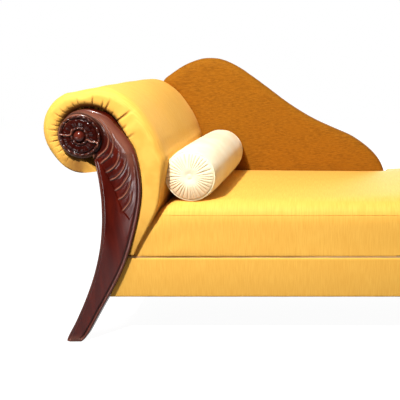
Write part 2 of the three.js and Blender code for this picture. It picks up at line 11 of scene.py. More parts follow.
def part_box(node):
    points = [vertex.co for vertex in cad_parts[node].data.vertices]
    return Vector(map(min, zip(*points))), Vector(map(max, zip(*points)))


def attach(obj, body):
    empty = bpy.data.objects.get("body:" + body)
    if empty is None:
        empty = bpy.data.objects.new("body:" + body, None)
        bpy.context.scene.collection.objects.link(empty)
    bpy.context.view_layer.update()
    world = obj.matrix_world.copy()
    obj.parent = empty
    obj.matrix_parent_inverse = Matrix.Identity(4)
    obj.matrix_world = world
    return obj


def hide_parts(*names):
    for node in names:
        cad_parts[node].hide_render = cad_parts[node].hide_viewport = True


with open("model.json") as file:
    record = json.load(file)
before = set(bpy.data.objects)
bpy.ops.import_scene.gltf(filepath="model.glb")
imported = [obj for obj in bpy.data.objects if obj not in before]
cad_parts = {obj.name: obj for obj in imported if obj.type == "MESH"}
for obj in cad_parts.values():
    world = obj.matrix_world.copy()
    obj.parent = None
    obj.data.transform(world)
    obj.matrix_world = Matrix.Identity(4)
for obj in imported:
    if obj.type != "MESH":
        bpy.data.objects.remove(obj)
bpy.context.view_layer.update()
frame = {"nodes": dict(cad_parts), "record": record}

scene = bpy.context.scene
scene.view_settings.view_transform = "Standard"


# Camera. The photograph was taken from in front of the couch's middle, a little above its back,
# and its frame holds the head end and two thirds of the seat.
CAMERA_DIP = 13.856  # degrees that it looks down
camera = bpy.data.objects.new("camera", bpy.data.cameras.new("camera"))
camera.data.lens, camera.data.sensor_width, camera.data.shift_x = 54, 36, -0.295
camera.location = (-0.031, -2.0807, 0.8978)
camera.rotation_euler = (math.radians(90 - CAMERA_DIP), 0, 0)
scene.collection.objects.link(camera)
scene.camera = camera


# Legs. Each is one plank of mahogany, sawn to a sabre curve that ends in a scroll, with rounded edges.
# The face is dished between a thin bead and a broad one, and carved with crescents below a plain volute.
# It is stained dark red and French polished, and bolted to the rib behind it.
MM = 0.001


class Value:
    """A socket of a shader, on which Python's operators work: each one adds a Math node."""

    def __init__(self, finish, socket):
        self.finish, self.socket = finish, socket

    def math(self, operation, first, second):
        return self.finish.node("ShaderNodeMath", {"operation": operation}, {0: first, 1: second})

    def __add__(self, other):
        return self.math("ADD", self, other)

    def __sub__(self, other):
        return self.math("SUBTRACT", self, other)

    def __rsub__(self, other):
        return self.math("SUBTRACT", other, self)

    def __mul__(self, other):
        return self.math("MULTIPLY", self, other)

    def largest(self, other):
        return self.math("MAXIMUM", self, other)

    __radd__ = __add__
    __rmul__ = __mul__


class Finish:
    """A material, or the world, while it is made. node() adds any node, the other methods the usual ones."""

    def __init__(self, name, kind=bpy.data.materials):
        self.block = kind.new(name)
        self.block.use_nodes = True
        self.tree = self.block.node_tree
        self.tree.nodes.clear()

    def node(self, kind, settings, inputs, output=0):
        node = self.tree.nodes.new(kind)
        for key, value in settings.items():
            setattr(node, key, value)
        for key, value in inputs.items():
            if isinstance(value, Value):
                self.tree.links.new(value.socket, node.inputs[key])
            else:
                node.inputs[key].default_value = value
        return None if output is None else Value(self, node.outputs[output])

    def share(self, name):
        """What shade() gave each point of the piece under this name."""
        return self.node("ShaderNodeAttribute", {"attribute_name": name}, {}, "Fac")

    def path(self, kind):
        """Whether the ray that meets the surface is of this kind."""
        return self.node("ShaderNodeLightPath", {}, {}, kind)

    def noise(self, scale, detail, distortion=0.0):
        """Noise from 0 to 1. scale gives how often it changes in a metre, along X, Y and Z."""
        here = self.node("ShaderNodeTexCoord", {}, {}, "Object")
        place = self.node("ShaderNodeMapping", {}, {"Vector": here, "Scale": scale})
        return self.node("ShaderNodeTexNoise", {}, {
            "Vector": place, "Scale": 1.0, "Detail": detail, "Distortion": distortion,
        })

    def span(self, value, low, high, out_low=0.0, out_high=1.0):
        """value from low to high, turned into out_low to out_high and kept between them."""
        return self.node("ShaderNodeMapRange", {"interpolation_type": "SMOOTHSTEP"}, {
            0: value, 1: low, 2: high, 3: out_low, 4: out_high,
        })

    def blend(self, share, first, second):
        """Two colours mixed, with share of the second."""
        return self.node("ShaderNodeMix", {"data_type": "RGBA"}, {0: share, 6: first, 7: second}, 2)

    def mix(self, share, first, second):
        """Two shaders mixed, with share of the second."""
        return self.node("ShaderNodeMixShader", {}, {0: share, 1: first, 2: second})

    def bump(self, height, distance, strength):
        inputs = {"Height": height, "Distance": distance, "Strength": strength}
        return self.node("ShaderNodeBump", {}, inputs)

    def surface(self, inputs):
        """Ends the material with a Principled surface, and gives the material back."""
        shader = self.node("ShaderNodeBsdfPrincipled", {}, inputs)
        self.node("ShaderNodeOutputMaterial", {}, {"Surface": shader}, None)
        return self.block


def linear(red, green, blue):
    """A colour given as it looks on a screen, from 0 to 255, in the values that shaders use."""
    parts = [part / 255 for part in (red, green, blue)]
    return (*(p / 12.92 if p <= 0.04045 else ((p + 0.055) / 1.055) ** 2.4 for p in parts), 1)


def polished_wood():
    finish = Finish("mahogany_polished")
    dark, light, cloud = linear(66, 11, 5), linear(92, 22, 9), linear(58, 7, 3)
    pore, painted_shade, bare_and_highlight = linear(30, 5, 3), linear(20, 4, 2), linear(160, 104, 82)
    figure = finish.noise((34, 34, 5), 3, distortion=0.6)
    pores = finish.noise((900, 900, 60), 1)
    clouds = finish.noise((9, 9, 6), 2)
    sunk = finish.share("sunk")
    color = finish.blend(finish.span(figure, 0.3, 0.75), dark, light)
    color = finish.blend(finish.span(clouds, 0.45, 0.75, 0, 0.5), color, cloud)
    color = finish.blend(finish.span(pores, 0.62, 0.8, 0, 0.35), color, pore)
    # Painted shade: where shade() gave sunk (grooves, hollows, steps, rings and gaps) the wood is darkened
    # toward near-black, and its coat is thinned there
    color = finish.blend(0.85 * sunk, color, painted_shade)
    # Raised parts are lightened toward pale pink: partly worn polish, partly painted highlight, and on the
    # volute a painted reflection
    color = finish.blend(0.8 * finish.share("worn"), color, bare_and_highlight)
    return finish.surface({
        "Base Color": color, "Roughness": finish.span(clouds, 0.3, 0.8, 0.26, 0.36),
        "Specular IOR Level": 0.1, "Coat Weight": 0.65 - 0.55 * sunk, "Coat Roughness": 0.13,
        "Coat IOR": 1.5, "Normal": finish.bump(pores, 0.2 * MM, 0.2),
    })


mahogany = polished_wood()


def grid_faces(rows, count, closed=True, first=0):
    """The faces between rows of count points each. A closed row is a ring."""
    faces = []
    for row in range(rows - 1):
        a, b = first + row * count, first + (row + 1) * count
        faces += [
            (a + i, a + (i + 1) % count, b + (i + 1) % count, b + i)
            for i in range(count if closed else count - 1)
        ]
    return faces


def rework(mesh, join=0.0, split=False):
    """Joins points that lie within a distance, splits the faces if asked, and turns them outward."""
    work = bmesh.new()
    work.from_mesh(mesh)
    if join:
        bmesh.ops.remove_doubles(work, verts=work.verts, dist=join)
    if split:
        bmesh.ops.triangulate(work, faces=work.faces)
    bmesh.ops.recalc_face_normals(work, faces=work.faces)
    work.to_mesh(mesh)
    work.free()
    return mesh


def mesh_piece(name, points, faces, material, body="frame"):
    """A piece from points in metres and faces, with a material, that rides on a CAD body."""
    mesh = bpy.data.meshes.new(name)
    mesh.from_pydata([tuple(map(float, p)) for p in points], [], [tuple(map(int, f)) for f in faces])
    rework(mesh).materials.append(material)
    mesh.polygons.foreach_set("use_smooth", [True] * len(mesh.polygons))
    piece = bpy.data.objects.new(name, mesh)
    scene.collection.objects.link(piece)
    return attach(piece, body)


def shade(piece, **shares):
    """Gives each point of a piece the shares that its material asks for by name."""
    for name, values in shares.items():
        piece.data.attributes.new(name, "FLOAT", "POINT").data.foreach_set("value", np.asarray(values, float))


LEG_EDGE = 3 * MM  # the rounding of a leg's edges
CAD_LEG_EDGE = 4 * MM  # the chamfer of the CAD leg's, behind which its outline is full
FOOT_HEIGHT = 20 * MM  # below this, points of the outline belong to the foot


def leg_outline(end):
    """A CAD leg's outline in X and Z, in order from the outer corner of its foot to the inner one."""
    node = f"{end}_leg_front"
    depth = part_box(node)[0].y + CAD_LEG_EDGE
    mesh = frame["nodes"][node].data
    near = {
        v.index: (round(v.co.x, 5), round(v.co.z, 5)) for v in mesh.vertices if abs(v.co.y - depth) < 1e-5
    }
    links = {}
    for a, b in (edge.vertices for edge in mesh.edges):
        if a in near and b in near and near[a] != near[b]:
            links.setdefault(near[a], set()).add(near[b])
            links.setdefault(near[b], set()).add(near[a])
    outer = min(links) if min(links)[0] < 0 else max(links)
    low = sorted((p for p in links if p[1] < FOOT_HEIGHT), key=lambda p: abs(p[0] - outer[0]))
    path = [min(low, key=lambda p: (round(p[1], 4), abs(p[0] - outer[0])))]
    ahead = [p for p in links[path[0]] if p[1] > path[0][1]] or list(links[path[0]])
    while ahead:
        path.append(ahead[0])
        ahead = [p for p in links[path[-1]] if p not in path]
    return np.array(path)


def lengths_along(line):
    """How far along a line each of its points lies."""
    return np.concatenate([[0], np.cumsum(np.linalg.norm(np.diff(line, axis=0), axis=1))])


def through(points, step):
    """Points a step apart on a smooth line through the given ones."""
    points = np.asarray(points, float)
    padded = np.vstack([2 * points[0] - points[1], points, 2 * points[-1] - points[-2]])
    t = np.linspace(0, 1, 12, endpoint=False)[:, None]
    fine = []
    for i in range(1, len(padded) - 2):
        a, b, c, d = padded[i - 1 : i + 3]
        bend, twist = 2 * a - 5 * b + 4 * c - d, 3 * b - a - 3 * c + d
        fine.append(0.5 * (2 * b + (c - a) * t + bend * t**2 + twist * t**3))
    fine = np.vstack([*fine, points[-1:]])
    along = lengths_along(fine)
    places = np.linspace(0, along[-1], max(2, round(along[-1] / step) + 1))
    return np.stack([np.interp(places, along, fine[:, k]) for k in range(fine.shape[1])], axis=1)


def nearest(points, line):
    """How far each point is from a line, and how far along it, from 0 to 1, the nearest place is."""
    start, run = line[:-1], np.diff(line, axis=0)
    lengths = np.linalg.norm(run, axis=1)
    before = lengths_along(line)
    distance, along = np.empty(len(points)), np.empty(len(points))
    for first in range(0, len(points), 500):
        part = slice(first, first + 500)
        away_x = points[part, 0, None] - start[None, :, 0]
        away_z = points[part, 1, None] - start[None, :, 1]
        share = np.clip((away_x * run[:, 0] + away_z * run[:, 1]) / lengths**2, 0, 1)
        gaps = (away_x - share * run[:, 0]) ** 2 + (away_z - share * run[:, 1]) ** 2
        best = gaps.argmin(1)
        rows = np.arange(len(best))
        distance[part] = np.sqrt(gaps[rows, best])
        along[part] = (before[best] + share[rows, best] * lengths[best]) / before[-1]
    return distance, along


def smoothstep(value, low, high):
    t = np.clip((value - low) / (high - low), 0, 1)
    return t * t * (3 - 2 * t)


def between(value, low, full, fading, high):
    """1 from full to fading, falling smoothly to 0 at low and at high."""
    return smoothstep(value, low, full) * (1 - smoothstep(value, fading, high))


def bell(distance, width):
    return np.exp(-((distance / width) ** 2))


# The crescents' ridges, as shares of the rosette's radius inward and up from its centre.
CRESCENTS = [
    [(0.62, 1.0), (0.93, 0.8), (1.16, 0.52), (1.31, 0.2), (1.35, -0.18), (1.19, -0.63), (0.68, -1.07)],
    [(0.9, 0.96), (1.16, 0.75), (1.37, 0.45), (1.53, -0.04), (1.56, -0.37), (1.36, -0.9), (0.86, -1.33)],
    [(1.83, -0.55), (1.8, -0.95), (1.61, -1.36), (1.38, -1.6), (1.1, -1.77)],
    [(2.08, -0.95), (2.04, -1.33), (1.82, -1.75), (1.53, -2.04), (1.23, -2.18)],
    [(2.24, -1.5), (2.14, -1.92), (1.9, -2.28), (1.69, -2.52), (1.44, -2.69)],
    [(2.25, -2.1), (2.14, -2.51), (1.98, -2.8), (1.77, -3.03), (1.56, -3.15)],
    [(2.25, -2.75), (2.14, -3.2), (1.98, -3.44), (1.84, -3.6), (1.72, -3.72)],
]
# the sunk field that the crescents lie in: its outer and inner edges, in the same shares, to its point
FIELD_OUTER = [
    (-0.9, 0.5), (-1.25, 0.76), (-1.75, 1.0), (-2.18, 1.15), (-2.69, 1.36), (-3.15, 1.48), (-3.72, 1.66),
    (-4.21, 2.04),
]
FIELD_INNER = [(-2.2, 2.5), (-3.0, 2.46), (-3.5, 2.36), (-3.9, 2.22), (-4.21, 2.04)]
FIELD_POINT = 4.21
# the volute's width in mm, at shares of the way from the neck over the scroll and down to the foot
VOLUTE = [(0, 8), (0.1, 13), (0.22, 26), (0.32, 40), (0.42, 38), (0.5, 33), (0.6, 29), (1, 22)]
BEAD, GROOVE = 5.2 * MM, 10.6 * MM  # how far from the inner edge the broad bead and its groove lie
BEAD_RISE, GROOVE_DEPTH = 0.9 * MM, 3.4 * MM
THIN_BEAD, THIN_GROOVE = 4.2 * MM, 7.2 * MM  # the same for the thin bead along the outer edge
THIN_RISE, THIN_DEPTH = 0.6 * MM, 1.6 * MM
DISH = 0.07  # how hollow the face is, as a share of its width
VOLUTE_RISE, DITCH_DEPTH, FIELD_DEPTH, RING_DEPTH = 4.4 * MM, 1.8 * MM, 1.9 * MM, 3.4 * MM
RIDGE_RISE, RIDGE_WIDTH, RIDGE_REACH = 2.6 * MM, 1.7 * MM, 16 * MM  # of a crescent
HOLLOW_DEPTH, HOLLOW_WIDTH, HOLLOW_AWAY = 0.7 * MM, 2.6 * MM, 4.2 * MM  # of the hollow beside it
CARVED_RADIUS = 62 * MM  # the radius of the rosette beside which the carving has the sizes given here


def face_height(points, radius, outer, inner):
    """How far the carved face stands out at each point, how much it is lightened as wear and painted
    highlight, and how much painted shade darkens it.
    The points are given from the rosette's centre."""
    size = radius / CARVED_RADIUS
    to_outer, _ = nearest(points, outer)
    to_inner, along = nearest(points, inner)
    from_centre = np.linalg.norm(points, axis=1)
    across, down = points[:, 0] / radius, -points[:, 1] / radius
    # the face is hollow, and rises steeply to the bead along its inner edge
    share = to_outer / (to_outer + to_inner + 1e-9)
    height = -DISH * (to_outer + to_inner) * np.sin(np.pi * share**0.62) * smoothstep(down, 0.9, 2.4)
    # the broad bead along the inner edge, with its groove, and the thin one along the outer edge
    beaded, thin = smoothstep(down, 0.3, 1.6), smoothstep(down, 0.9, 1.5)
    bead = beaded * bell(to_inner - BEAD * size, 3.0 * MM * size)
    groove = beaded * bell(to_inner - GROOVE * size, 2.1 * MM)
    thin_bead = thin * bell(to_outer - THIN_BEAD, 1.5 * MM)
    thin_groove = thin * bell(to_outer - THIN_GROOVE, 1.6 * MM)
    height += BEAD_RISE * bead - GROOVE_DEPTH * groove + THIN_RISE * thin_bead - THIN_DEPTH * thin_groove
    # the plain volute over the top and down the inner side
    upper = 1 - smoothstep(down, 0.4, 2.6)
    band = np.interp(along, *np.array(VOLUTE).T) * MM * size
    across_band = np.clip(to_inner / band, 0, 2)
    height += VOLUTE_RISE * upper * np.clip(1 - (across_band - 0.5) ** 2 / 0.3, -0.25, 1)
    ditch = (1 - smoothstep(along, 0.2, 0.34)) * bell((across_band - 1.1) * band, 2.2 * MM * size)
    height -= DITCH_DEPTH * ditch
    # the field, and the crescents in it with a hollow beside each
    drops, outs = np.array(FIELD_OUTER).T
    from_left = across - np.interp(down, -drops, outs)
    drops, outs = np.array(FIELD_INNER).T
    from_right = np.interp(down, -drops, outs) - across
    field = smoothstep(from_left, 0, 0.05) * smoothstep(from_right, 0, 0.05) * smoothstep(down, 0.8, 1.1)
    field *= 1 - smoothstep(down, FIELD_POINT - 0.03, FIELD_POINT + 0.03)
    height -= FIELD_DEPTH * size * field
    lip = bell(from_left - 0.03, 0.035) * (down > 0.8)
    lip = np.maximum(lip, bell(from_right - 0.03, 0.035) * (down > 2.6)) * (down < FIELD_POINT)
    lift, hollow = np.zeros(len(points)), np.zeros(len(points))
    for ridge in CRESCENTS:
        line = through(np.array(ridge) * radius, 2 * MM)
        close = ((points > line.min(0) - RIDGE_REACH) & (points < line.max(0) + RIDGE_REACH)).all(1)
        gap, place = nearest(points[close], line)
        strength = smoothstep(place, -0.05, 0.3) * (0.75 + 0.35 * place)
        strength *= 1 - 0.5 * smoothstep(place, 0.93, 1)
        ridge_here = strength * bell(gap, (RIDGE_WIDTH + 0.5 * MM * place) * size)
        hollow_here = strength * bell(gap - HOLLOW_AWAY * size, HOLLOW_WIDTH * size)
        lift[close] = np.maximum(lift[close], ridge_here)
        hollow[close] = np.maximum(hollow[close], hollow_here)
    height += (RIDGE_RISE * lift - HOLLOW_DEPTH * hollow) * size
    # the sunk ring round the rosette, and the rounded edges
    height -= RING_DEPTH * bell(from_centre - 1.05 * radius, 3.2 * MM)
    around = 0.9 * bell(from_centre - 1.08 * radius, 0.13 * radius)
    rounding = np.clip(LEG_EDGE - np.minimum(to_outer, to_inner), 0, LEG_EDGE)
    # the lowest 30 mm of the foot are lighter, most of all at the bottom
    foot = 0.4 * (1 - smoothstep(points[:, 1] - points[:, 1].min(), 0, 30 * MM * size))
    # painted reflection: the middle of the volute band is lightened
    volute = 0.7 * upper * bell(across_band - 0.5, 0.4)
    # the crescents and the beads are lightened as worn polish and painted highlight
    worn = np.maximum.reduce([lift, 0.22 * bead, 0.3 * thin_bead, foot, volute])
    # painted shade: the hollows beside the crescents, the step round the field, the grooves, the ring round
    # the rosette and the ditch are darkened
    dull_and_shaded = (1 - lift) * np.maximum(0.3 * hollow, 0.4 * lip)
    sunk = np.maximum.reduce([groove, dull_and_shaded, around, 0.7 * ditch])
    return height - (LEG_EDGE - np.sqrt(LEG_EDGE**2 - rounding**2)), worn, sunk


def beside(line, distance):
    """A line moved sideways, to its right-hand side."""
    run = np.gradient(line, axis=0)
    run /= np.linalg.norm(run, axis=1)[:, None] + 1e-12
    return line + distance * np.stack([run[:, 1], -run[:, 0]], axis=1)


def filled(points, count, closeness):
    """Flat points and the faces over them, inside the ring that the first count of them make."""
    edges = [(i, (i + 1) % count) for i in range(count)]
    flat, _, faces, _, _, _ = delaunay_2d_cdt([Vector(p) for p in points], edges, [], 1, closeness)
    return np.array([tuple(p) for p in flat]), faces


SCROLL_SHADOW = 5 * MM  # how far the top of a scroll stands off the fabric
BORDER_STEP = 3 * MM  # between points along a leg's outline
FACE_STEP = 1.7 * MM  # between points of its face along a row
FACE_RISE = 0.87 * FACE_STEP  # and from row to row, so that the triangles are even
FACE_ROWS = np.array([0.35, 1.0, 2.0, 3.0, 4.2, 5.6, 7.0, 8.4, 9.8, 11.2, 12.6]) * MM
# the distances from the outline at which rows of points follow it, before the even grid begins


def disc(node):
    """The centre and the radius of a round CAD piece that faces the front or the rear."""
    low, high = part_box(node)
    return (low + high) / 2, (high.x - low.x) / 2


def leg_shape(end):
    """A leg's carved face, as flat points from the rosette's centre, faces and heights, and its outline."""
    centre, radius = disc(f"{end}_rosette_front")
    inward = 1 if centre.x < 0 else -1
    ring = (leg_outline(end) - np.array([centre.x, centre.z])) * np.array([inward, 1])
    angle = np.degrees(np.arctan2(ring[:, 1], ring[:, 0]))
    above = between(angle, 20, 60, 120, 165)
    ring *= 1 - (SCROLL_SHADOW * above / np.linalg.norm(ring, axis=1))[:, None]
    # the neck is the sharpest inward corner, where the scroll meets the leg's outer side
    run = np.diff(ring, axis=0)
    run /= np.linalg.norm(run, axis=1)[:, None]
    turn = run[:-1, 0] * run[1:, 1] - run[:-1, 1] * run[1:, 0]
    turn[ring[1:-1, 1] < -2 * radius] = -1
    neck = 1 + turn.argmax()
    outer, inner = through(ring[: neck + 1], BORDER_STEP), through(ring[neck:], BORDER_STEP)
    border = np.vstack([outer, inner[1:]])
    closed = np.vstack([border, border[:1]])
    low_corner, high_corner = border.min(0), border.max(0)
    rows = np.vstack([beside(line, out) for out in FACE_ROWS for line in (outer, inner)])
    offsets = np.repeat(FACE_ROWS, len(outer) + len(inner))
    gap, _ = nearest(rows, closed)
    rows = rows[(gap > offsets - 0.15 * MM) & (rows[:, 1] > low_corner[1] + 0.3 * MM)]
    xs = np.arange(low_corner[0], high_corner[0], FACE_STEP)
    zs = np.arange(low_corner[1] + FACE_STEP, high_corner[1], FACE_RISE)
    grid = np.array([(x + (k % 2) * FACE_STEP / 2, z) for k, z in enumerate(zs) for x in xs])
    grid = grid[inside(grid, border)]
    gap, _ = nearest(grid, closed)
    grid = grid[gap > FACE_ROWS[-1] + 0.8 * MM]
    flat, faces = filled(np.vstack([border, rows, grid]), len(border), 1e-7)
    return centre, inward, flat, faces, face_height(flat, radius, outer, inner), border


def inside(points, ring):
    """Whether each point lies inside a closed line."""
    x, z = points[:, 0], points[:, 1]
    hit = np.zeros(len(points), bool)
    for (ax, az), (bx, bz) in zip(ring, np.roll(ring, -1, axis=0)):
        crosses = (az > z) != (bz > z)
        if az != bz:
            hit ^= crosses & (x < (bx - ax) * (z - az) / (bz - az) + ax)
    return hit


def add_leg(end, place, shape):
    node = f"{end}_leg_{place}"
    low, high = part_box(node)
    side, face_y, back_y = (-1, low.y, high.y) if place == "front" else (1, high.y, low.y)
    centre, inward, flat, faces, (height, worn, sunk), border = shape
    count, shrunk = len(border), inset(border, LEG_EDGE)
    depth = back_y - face_y + 2 * side * LEG_EDGE
    rings = [(border, face_y - side * LEG_EDGE + share * depth) for share in (0, 0.5, 1)]
    rings.append((shrunk, back_y))
    points = [(centre.x + inward * u, face_y + side * h, centre.z + w) for (u, w), h in zip(flat, height)]
    for ring, y in rings:
        points += [(centre.x + inward * u, y, centre.z + w) for u, w in ring]
    last = len(points) - count
    _, back_faces = filled(shrunk, count, 1e-9)
    polygons = [*faces, *grid_faces(len(rings), count, first=len(flat))]
    polygons += [tuple(last + i for i in face) for face in back_faces if max(face) < count]
    piece = mesh_piece(f"{node}_carved", points, polygons, mahogany)
    rest = np.zeros(len(points) - len(flat))
    shade(piece, worn=[*worn, *rest], sunk=[*sunk, *rest])
    rework(piece.data, join=0.02 * MM)
    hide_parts(node)


def inset(ring, distance):
    """A closed line moved inward, with mitred corners."""
    before, after = np.roll(ring, 1, axis=0), np.roll(ring, -1, axis=0)
    area = (ring[:, 0] * after[:, 1] - after[:, 0] * ring[:, 1]).sum()
    turn = 1 if area > 0 else -1

    def sideways(run):
        run = run / (np.linalg.norm(run, axis=1)[:, None] + 1e-12)
        return np.stack([-run[:, 1], run[:, 0]], axis=1)

    first, second = sideways(ring - before), sideways(after - ring)
    spread = np.maximum(0.4, 1 + (first * second).sum(1))[:, None]
    return ring + turn * distance * (first + second) / spread


for end in ("head", "foot"):
    shape = leg_shape(end)
    for place in ("front", "rear"):
        add_leg(end, place, shape)


# Rosettes. Each is turned and carved from mahogany and glued over the eye of a scroll: a domed boss
# in a scalloped collar, twelve leaves with two wavy stems across them, and a rim of small beads.
ROSETTE_STEMS = [
    [(-0.93, 0.09), (-0.73, 0.06), (-0.46, 0.04), (-0.37, 0.16), (-0.32, 0.31)],
    [(0.37, -0.15), (0.53, -0.26), (0.73, -0.28), (0.86, -0.36), (0.84, -0.5)],
]  # as shares of a rosette's radius, inward and up
ROSETTE_SECTION = [
    (0, 1.0), (0.08, 0.97), (0.15, 0.88), (0.21, 0.72), (0.25, 0.5), (0.27, 0.24), (0.3, 0.2),
    (0.32, 0.36), (0.375, 0.46), (0.43, 0.36), (0.46, 0.2), (0.5, 0.25), (0.65, 0.32), (0.8, 0.24),
    (0.83, 0.1), (0.86, 0.24), (0.92, 0.34), (0.97, 0.28), (1.0, 0.1),
]  # how high it stands, from the boss over the collar and the leaves to the rim
LEAVES, COLLAR_LOBES, RIM_BEADS = 12, 11, 20
LEAF_RISE, COLLAR_RISE, RIM_RISE, STEM_HEIGHT = 0.09, 0.15, 0.19, 0.56  # as shares of its depth


def rosette_height(out, angle):
    """How far a rosette stands out, as a share of its depth, how much it is lightened as wear and painted
    highlight, and how much painted shade darkens it.
    """
    height = np.interp(out, *np.array(ROSETTE_SECTION).T)
    collar = between(out, 0.3, 0.34, 0.42, 0.46)
    lobes = np.abs(np.cos(angle * COLLAR_LOBES / 2)) ** 0.7
    height += COLLAR_RISE * collar * (lobes - 0.5)
    across = (angle * LEAVES / (2 * np.pi)) % 1.0 - 0.5
    lobe = 1 - (2 * across) ** 2
    tip = 0.72 + 0.09 * np.sqrt(lobe)
    within = between(out, 0.45, 0.5, tip - 0.05, tip)
    height += within * (LEAF_RISE * lobe - 0.04 * bell(across, 0.06))
    rim = between(out, 0.84, 0.88, 0.95, 1.0)
    beads = np.abs(np.cos(angle * RIM_BEADS / 2)) ** 0.7
    height += RIM_RISE * rim * (beads - 0.45)
    stems = np.zeros(len(out))
    places = np.stack([out * np.cos(angle), out * np.sin(angle)], axis=1)
    for stem in ROSETTE_STEMS:
        gap, _ = nearest(places, through(stem, 0.02))
        stems = np.maximum(stems, bell(gap, 0.03))
    height = np.maximum(height, height * (1 - stems) + STEM_HEIGHT * stems)
    # the boss, the collar, the rim's beads and most of all the stems are lightened: worn polish and painted
    # highlight
    worn = np.maximum.reduce([0.12 * bell(out, 0.2), 0.1 * collar * lobes, 0.12 * rim * beads, 0.8 * stems])
    # painted shade in the rings between boss, collar, leaves and rim and between the leaves; beyond the boss
    # the whole face is also darker and duller
    gaps = np.maximum.reduce([bell(out - 0.28, 0.03), bell(out - 0.46, 0.03), bell(out - 0.83, 0.035)])
    plain = 0.75 * smoothstep(out, 0.25, 0.3)
    sunk = np.maximum.reduce([gaps, within * (0.45 + 0.5 * (1 - lobe)), plain]) * (1 - stems)
    return height, worn, sunk


def add_rosette(end, place):
    node = f"{end}_rosette_{place}"
    low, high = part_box(node)
    centre, radius = disc(node)
    side, back_y = (-1, high.y) if place == "front" else (1, low.y)
    depth = high.y - low.y
    inward = 1 if centre.x < 0 else -1
    turns, rings = 240, 60
    around = np.arange(turns) * 2 * np.pi / turns
    outs, angles = np.meshgrid(np.linspace(1, 0.015, rings), around, indexing="ij")
    outs, angles = outs.ravel(), angles.ravel()
    height, worn, sunk = rosette_height(outs, angles)
    x = centre.x + inward * radius * outs * np.cos(angles)
    z = centre.z + radius * outs * np.sin(angles)
    face = np.column_stack([x, back_y + side * depth * height, z])
    rim = face[:turns] * [1, 0, 1] + [0, back_y, 0]
    points = [*rim, *face, (centre.x, back_y + side * depth, centre.z)]
    last = rings * turns
    faces = grid_faces(rings + 1, turns)
    faces += [(last + i, last + (i + 1) % turns, len(points) - 1) for i in range(turns)]
    faces.append(tuple(range(turns)))
    piece = mesh_piece(f"{node}_carved", points, faces, mahogany)
    shade(piece, worn=[*np.zeros(turns), *worn, 0.4], sunk=[*np.zeros(turns), *sunk, 0])
    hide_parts(node)


for end in ("head", "foot"):
    for place in ("front", "rear"):
        add_rosette(end, place)


# Arms. Foam over the ribs and slats, under one width of gold fabric that is drawn over the roll,
# gathered in round the wood at both ends, and tacked behind it.
def woven_gold(name, streak_scale):
    finish = Finish(name)
    dark, light, crease = linear(234, 172, 70), linear(243, 187, 82), linear(96, 44, 8)
    streaks = finish.noise(streak_scale, 2)
    patches = finish.noise((7, 7, 7), 3)
    flecks = finish.noise((220, 220, 220), 2)
    threads = finish.noise((1100, 1100, 1100), 1)
    color = finish.blend(finish.span(streaks, 0.3, 0.7), dark, light)
    color = finish.blend(finish.span(patches, 0.35, 0.75, 0, 0.3), color, dark)
    # painted shade: where shade() gave sunk (gathers, under the scroll, beside the wood, the seat's seam) the
    # gold goes toward dark brown
    color = finish.blend(finish.share("sunk"), color, crease)
    weave = 0.5 * streaks + 0.3 * flecks + 0.4 * threads
    return finish.surface({
        "Base Color": color, "Roughness": finish.span(flecks, 0.3, 0.7, 0.62, 0.78),
        "Specular IOR Level": 0.2, "Sheen Weight": 0.16, "Sheen Roughness": 0.35,
        "Sheen Tint": linear(255, 242, 165), "Normal": finish.bump(weave, 0.6 * MM, 0.35),
    })


gold_round_arm = woven_gold("gold_fabric_round_the_arm", (26, 420, 26))
ARM_INNER = [
    (0.656, 0.314), (0.716, 0.384), (0.826, 0.472), (0.914, 0.55), (0.959, 0.634),
    (0.992, 0.696), (1, 0.734), (0.98, 0.767), (0.947, 0.814), (0.891, 0.866),
    (0.8, 0.926), (0.706, 0.966), (0.596, 0.992), (0.485, 1), (0.347, 0.989),
]  # an arm's inner side and top, as shares of its width and height, from the seat's foot to its roll
# an apron's face is how far along the couch it hangs
ARMS = {
    "head": {
        "side": -1, "width": 363 * MM, "height": 797 * MM, "roll": 120 * MM, "lift": 9 * MM,
        "apron": -702.9 * MM,
    },
    "foot": {
        "side": 1, "width": 290 * MM, "height": 638 * MM, "roll": 96 * MM, "lift": 7 * MM,
        "apron": 719.1 * MM,
    },
}
HALF_LENGTH = 850 * MM
ARM_END = 311.7 * MM  # from the couch's middle to an arm's gathered end
WOOD_BACK = 291.7 * MM  # and to the back of the legs, where the cover is tacked
SEAM_HEIGHT = 283.6 * MM
BASE_BOTTOM = 150 * MM
ROLL_START, ROLL_END = 112, 290  # the part of the roll that is round, in degrees


def arm_outline(end, leg_outer, centre):
    """An arm's outline, inward from the couch's end and up, from the seat over the roll to the base."""
    arm = ARMS[end]
    inner = through([(a * arm["width"], b * arm["height"]) for a, b in ARM_INNER], 4 * MM)
    inner = inner[inner[:, 1] > SEAM_HEIGHT + 1 * MM]
    middle = np.array([arm["roll"], centre[1] + arm["lift"]])
    angles = np.radians(np.linspace(ROLL_START, ROLL_END, 120))
    roll = middle + arm["roll"] * np.stack([np.cos(angles), np.sin(angles)], axis=1)
    outer = leg_outer[::-1] + np.array([6 * MM, 0])
    outer = outer[(outer[:, 1] < roll[-1, 1] - 0.9 * arm["lift"]) & (outer[:, 1] > SEAM_HEIGHT)]
    return np.vstack([inner, roll, outer])


# where the gathers lie round the scroll: the angle in degrees, how far each reaches, and how deep it is
GATHERS = [
    (100, 26, 3.0), (90, 34, 2.6), (79, 20, 2.0), (66, 40, 3.4), (51, 34, 3.4), (44, 46, 3.6), (33, 22, 2.2),
    (21, 64, 4.2), (8, 26, 2.4), (-3, 30, 2.0), (112, 22, 2.2), (124, 30, 2.6), (137, 34, 3.0),
    (149, 24, 2.2), (160, 30, 2.6), (170, 38, 3.0), (181, 26, 2.4), (192, 34, 3.0), (203, 26, 2.6),
    (214, 34, 3.0), (226, 28, 2.6), (236, 34, 3.0), (248, 26, 2.4), (260, 24, 2.2),
]


